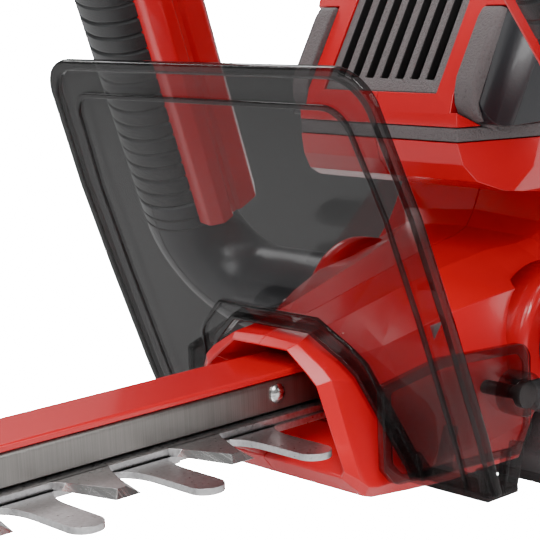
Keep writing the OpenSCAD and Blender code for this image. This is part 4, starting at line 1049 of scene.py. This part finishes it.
def foot_gusset(side):
    """The slotted foot behind the guard's lower corner."""
    parts = []
    for y0 in (45.0, 70.5):
        outline = [(20, -18.4), (33, -19.0), (37, -5), (33, -4), (29, -15.5), (24.5, -15.5), (20, -9),
                   (17.5, -9)]
        parts.append(prism("gusset", outline, side * y0, side * (y0 + 3.0), "y", M["pane"]))
    floor_outline = [(19, -19.2), (33, -19.2), (33, -16.8), (19, -16.8)]
    parts.append(prism("gusset_floor", floor_outline, side * 43.6, side * 74, "y", M["pane"]))
    bar_outline = [(26.2, -18), (28.0, -18), (31.0, -6), (29.2, -6)]
    parts.append(prism("gusset_bar", bar_outline, side * 70.5, side * 73.5, "y", M["pane"]))
    for part in parts:
        finish_edges(part, 0.5, 2, 50)
    return parts


make_guard()

# ---------------------------------------------------------------- front handle
HOOP_LEAN = math.radians(27)  # of the whole handle, forwards
SLOPE = math.radians(13)      # of each leg, inwards
HOOP_X = SHOULDER[0] + SHOULDER[1] * math.tan(HOOP_LEAN)
HOOP_LOW = SHOULDER[1] / math.cos(HOOP_LEAN)
HALF, LOW_R, HIGH_R, HOOP_TOP = 119.8, 30.0, 45.0, 225.0
LOW_Y = HALF - LOW_R * math.cos(SLOPE)
LOW_Z = HOOP_LOW + LOW_R
FOOT_Z = LOW_Z + LOW_R * math.sin(SLOPE)
HEAD_Z = HOOP_TOP - HIGH_R + HIGH_R * math.sin(SLOPE)
LEG = (HEAD_Z - FOOT_Z) / math.cos(SLOPE)
HIGH_Y = HALF - LEG * math.sin(SLOPE) - HIGH_R * math.cos(SLOPE)
HIGH_Z = HOOP_TOP - HIGH_R
GRIP_START = 12.0


def on_hoop(y, up, out=0.0):
    """A place in the handle's leaning plane: to the right, up the plane and behind it."""
    return at(HOOP_X - up * math.sin(HOOP_LEAN) + out * math.cos(HOOP_LEAN), y,
              up * math.cos(HOOP_LEAN) + out * math.sin(HOOP_LEAN))


def on_leg(along):
    """A place on the right leg's middle line, in the handle's plane."""
    return (HALF - along * math.sin(SLOPE), FOOT_Z + along * math.cos(SLOPE))


def grip_line():
    """Middle line of the grip from the left leg over the crossbar to the right leg."""
    half = [on_leg(GRIP_START + (LEG - GRIP_START) * k / 10) for k in range(10)]
    half += [(HIGH_Y + HIGH_R * math.cos(a), HIGH_Z + HIGH_R * math.sin(a)) for a in
             [SLOPE + (math.pi / 2 - SLOPE) * k / 16 for k in range(17)]]
    return [(-y, z) for y, z in half] + half[::-1]


def foot_line(side):
    """Middle line of the smooth lower bend, from the shoulder to the grip."""
    line = [(48.0, HOOP_LOW), (60.0, HOOP_LOW)]
    line += [(LOW_Y + LOW_R * math.cos(a), LOW_Z + LOW_R * math.sin(a)) for a in
             [-math.pi / 2 + (math.pi / 2 + SLOPE) * k / 18 for k in range(19)]]
    line.append(on_leg(GRIP_START))
    return [(side * y, z) for y, z in line]


def inside_hoop_bar(name, profile, material, start):
    """A bar that follows the inside of the hoop, from leg to leg; profile is its section."""
    stations = []
    for k in range(2):
        y, z = on_leg(start + (LEG - start) * k)
        stations.append((Vector((y, z)), Vector((-math.cos(SLOPE), -math.sin(SLOPE)))))
    for k in range(1, 17):
        a = SLOPE + (math.pi / 2 - SLOPE) * k / 16
        stations.append((Vector((HIGH_Y + HIGH_R * math.cos(a), HIGH_Z + HIGH_R * math.sin(a))),
                         Vector((-math.cos(a), -math.sin(a)))))
    full = stations + [(Vector((-p.x, p.y)), Vector((-n.x, n.y))) for p, n in reversed(stations)]
    verts = []
    for p, n in full:
        for inward, out in profile:
            q = p + n * inward
            verts.append(on_hoop(q.x, q.y, out))
    return new_piece(name, verts, loft_faces(len(full), len(profile)), material)


def make_handle():
    """The ribbed grip, the smooth bends below it with their rings and seam, and the red switch bar."""
    grip = round_bar("handle_grip_shape", [on_hoop(y, z) for y, z in grip_line()], 17.0, M["grip"],
                     groove=0.75, pitch=6.2)
    smooth(grip)
    ride_for(grip, "handle_grip")
    lower = None
    for side in (-1, 1):
        bend = round_bar("handle_bend", [on_hoop(y, z) for y, z in foot_line(side)], 16.9, M["satin"],
                         step=2.0)
        rings = []
        for along in (0.0, 4.5):
            a, b = on_leg(along), on_leg(along + 1.2)
            ring_line = [on_hoop(side * a[0], a[1]), on_hoop(side * b[0], b[1])]
            rings.append(round_bar("handle_ring", ring_line, 17.05, M["seal"], step=0.6))
        seam_line = [on_hoop(y, z, -16.6) for y, z in foot_line(side)]
        rings.append(round_bar("handle_seam", seam_line, 0.45, M["seal"], step=2.0))
        if lower is None:
            lower = take_in(bend, *rings)
        else:
            take_in(lower, bend, *rings)
    lower.name = "handle_core_shape"
    smooth(lower)
    ride_for(lower, "handle_core")
    section = rounded([(9, -8), (9, 20), (18, 20), (24, 14), (24, 5.5), (22.6, 4.0), (22.6, 2.2), (24, 0.8),
                       (24, -4), (20, -8)], [2, 2, 2.5, 2.5, 0.6, 0.5, 0.5, 0.6, 2, 2], steps=3)
    bar = inside_hoop_bar("front_switch_bar_shape", section, M["red"], 2.0)
    finish_edges(bar, 0.6, 3, 50)
    ride_for(bar, "front_switch_bar")


make_handle()


# ---------------------------------------------------------------- rear handle
def make_rear_handle():
    """The rear handle's two halves, with the root at the housing and the seat over the battery."""
    profile = rounded([(214, 136), (262, 132), (330, 122), (400, 108), (454, 98), (468, 84), (468, 37),
                       (368, 37), (364, -30), (358, -36), (196.5, -36), (196.5, 61), (214, 62)],
                      [2, 12, 20, 20, 12, 8, 5, 5, 6, 5, 3, 3, 3])
    loop = rounded([(234, 92), (322, 86), (338, 68), (338, 16), (320, -6), (238, -6), (226, 8), (226, 80)],
                   [10, 14, 14, 16, 16, 12, 12, 10])
    solid = slab("rear_handle", profile, [loop], 17, 8.5, M["red"])
    seat = rounded([(368, 84), (466, 84), (468, 80), (468, 37), (368, 37)], [8, 6, 3, 3, 3])
    low = rounded([(196.4, 60), (220, 60), (222, 50), (222, -30), (216, -36), (196.4, -36)],
                  [1, 5, 5, 6, 5, 1])
    high = rounded([(214, 120), (220, 120), (222, 112), (222, 70), (219, 62), (214, 62)],
                   [1, 3, 3, 3, 3, 1])
    block = slab("battery_seat", seat, [], 41, 5, M["red"])
    root_low = slab("rear_root_low", low, [], 34, 4, M["red"])
    root_high = slab("rear_root_high", high, [], 34, 2.5, M["red"])
    take_in(solid, block, root_low, root_high)
    for side, node in ((-1, "rear_handle_left"), (1, "rear_handle_right")):
        part = half_of(solid, side, node + "_shape")
        finish_edges(part, 0)
        ride_for(part, node)
    bpy.data.objects.remove(solid)
    rounded_copy("rear_grip", 0.8, 3)
    rounded_copy("trigger", 1.4, 4)
    rounded_copy("lock_button", 1.0, 3)


make_rear_handle()


# ---------------------------------------------------------------- battery
def make_battery():
    """The pack with its rails, side ribs and red band, and its two latches."""
    outline = rounded([(372, 28), (372, -34), (376, -40), (486, -40), (492, -34), (492, 28)],
                      [2.5, 3, 4, 4, 3, 4])
    case = slab("battery_case_shape", outline, [], 38, 3.2, M["dark"])
    rails = prism("rails", [(378, 28), (468, 28), (468, 43.2), (378, 43.2)], -22, 22, "y", M["dark"])
    lips = [prism("lip", [(382, 40), (466, 40), (466, 43.2), (382, 43.2)], s * 21, s * 26, "y", M["dark"])
            for s in (-1, 1)]
    for part in [rails] + lips:
        finish_edges(part, 0.6, 2)
    rib = small("pack_rib", [(x, y, z) for x in (-1.1, 1.1) for y in (-38.3, 38.3) for z in (-26, 12)],
                [[0, 1, 3, 2], [4, 5, 7, 6], [0, 1, 5, 4], [2, 3, 7, 6], [0, 2, 6, 4], [1, 3, 7, 5]],
                M["dark"], bevel=0.5)
    ribs = row_of("pack_ribs", rib, 9, (390, 0, -2), (6.5, 0, 0), M["dark"])
    band_outline = rounded([(371.8, 14), (371.8, 17), (491.9, 17), (491.9, 14)], 0.5)
    band = prism("pack_band", band_outline, -38.2, 38.2, "y", M["red"])
    finish_edges(band, 0.4, 2)
    take_in(case, rails, *lips, ribs, band)
    smooth(case)
    ride_for(case, "battery_case")
    rounded_copy("battery_latch_left", 0.8, 3)
    rounded_copy("battery_latch_right", 0.8, 3)


make_battery()

# ---------------------------------------------------------------- stage, camera, lights
def seen_level(tree, direct, through, light):
    """A level for what is seen directly, seen through clear plastic, and lit from."""
    path = tree.nodes.new("ShaderNodeLightPath")
    behind = math_node(tree, "GREATER_THAN", path.outputs["Transparent Depth"], 0.5)
    seen = math_node(tree, "ADD", direct - light, math_node(tree, "MULTIPLY", behind, through - direct))
    return math_node(tree, "ADD", light, math_node(tree, "MULTIPLY", path.outputs["Is Camera Ray"], seen))


floor_mesh = bpy.data.meshes.new("pale_floor")
floor_mesh.from_pydata([(-6, -6, 0), (6, -6, 0), (6, 6, 0), (-6, 6, 0)], [], [(0, 1, 2, 3)])
floor = add_object("pale_floor", floor_mesh)
floor_material, floor_tree, floor_shader = new_material("pale_floor")
floor_shader.inputs["Roughness"].default_value = 0.9
floor_shader.inputs["Emission Color"].default_value = (1, 1, 1, 1)
glow = seen_level(floor_tree, direct=40.0, through=0.02, light=0.12)
floor_tree.links.new(glow, floor_shader.inputs["Emission Strength"])
level = floor_tree.nodes.new("ShaderNodeCombineColor")
tone = seen_level(floor_tree, direct=0.9, through=0.03, light=0.9)
for channel in ("Red", "Green", "Blue"):
    floor_tree.links.new(tone, level.inputs[channel])
floor_tree.links.new(level.outputs[0], floor_shader.inputs["Base Color"])
floor_mesh.materials.append(floor_material)

camera_data = bpy.data.cameras.new("view")
camera_data.lens = 112.33
camera_data.sensor_width = 36.0
camera = add_object("view", camera_data)
look = Vector((0.660, 0.729, -0.183)).normalized()
right = Vector((0.7355, -0.6763, -0.0421)).normalized()
up = right.cross(look).normalized()
right = look.cross(up)
turn = Matrix((right, up, -look)).transposed().to_4x4()
camera.matrix_world = Matrix.Translation((-0.4290, -0.3755, 0.1771)) @ turn
camera_data.clip_start = 0.01
bpy.context.scene.camera = camera


def area_light(name, place, target, size, power):
    """A rectangular lamp that faces its target; places are in metres."""
    data = bpy.data.lights.new(name, "AREA")
    data.shape = "RECTANGLE"
    data.size, data.size_y = size
    data.energy = power
    lamp = add_object(name, data)
    lamp.location = place
    lamp.rotation_euler = (Vector(target) - Vector(place)).to_track_quat("-Z", "Y").to_euler()


area_light("key_light", (-0.9, -1.2, 1.7), (0, 0, 0.1), (1.0, 1.0), 42)
area_light("fill_light", (0.9, -1.5, 0.8), (0, 0, 0.1), (1.2, 0.8), 9)
area_light("back_light", (0.2, 1.6, 1.4), (0, 0, 0.1), (1.6, 0.6), 16)
area_light("front_light", (-1.5, 0.1, 1.2), (-0.1, 0, 0.1), (0.9, 0.9), 16)
area_light("top_light", (0.1, -0.1, 2.0), (0, 0, 0.1), (1.2, 0.8), 9)

world = bpy.data.worlds.new("studio")
bpy.context.scene.world = world
world.use_nodes = True
background = world.node_tree.nodes["Background"]
background.inputs["Color"].default_value = (1, 1, 1, 1)
sky = seen_level(world.node_tree, direct=40.0, through=0.05, light=0.24)
world.node_tree.links.new(sky, background.inputs["Strength"])
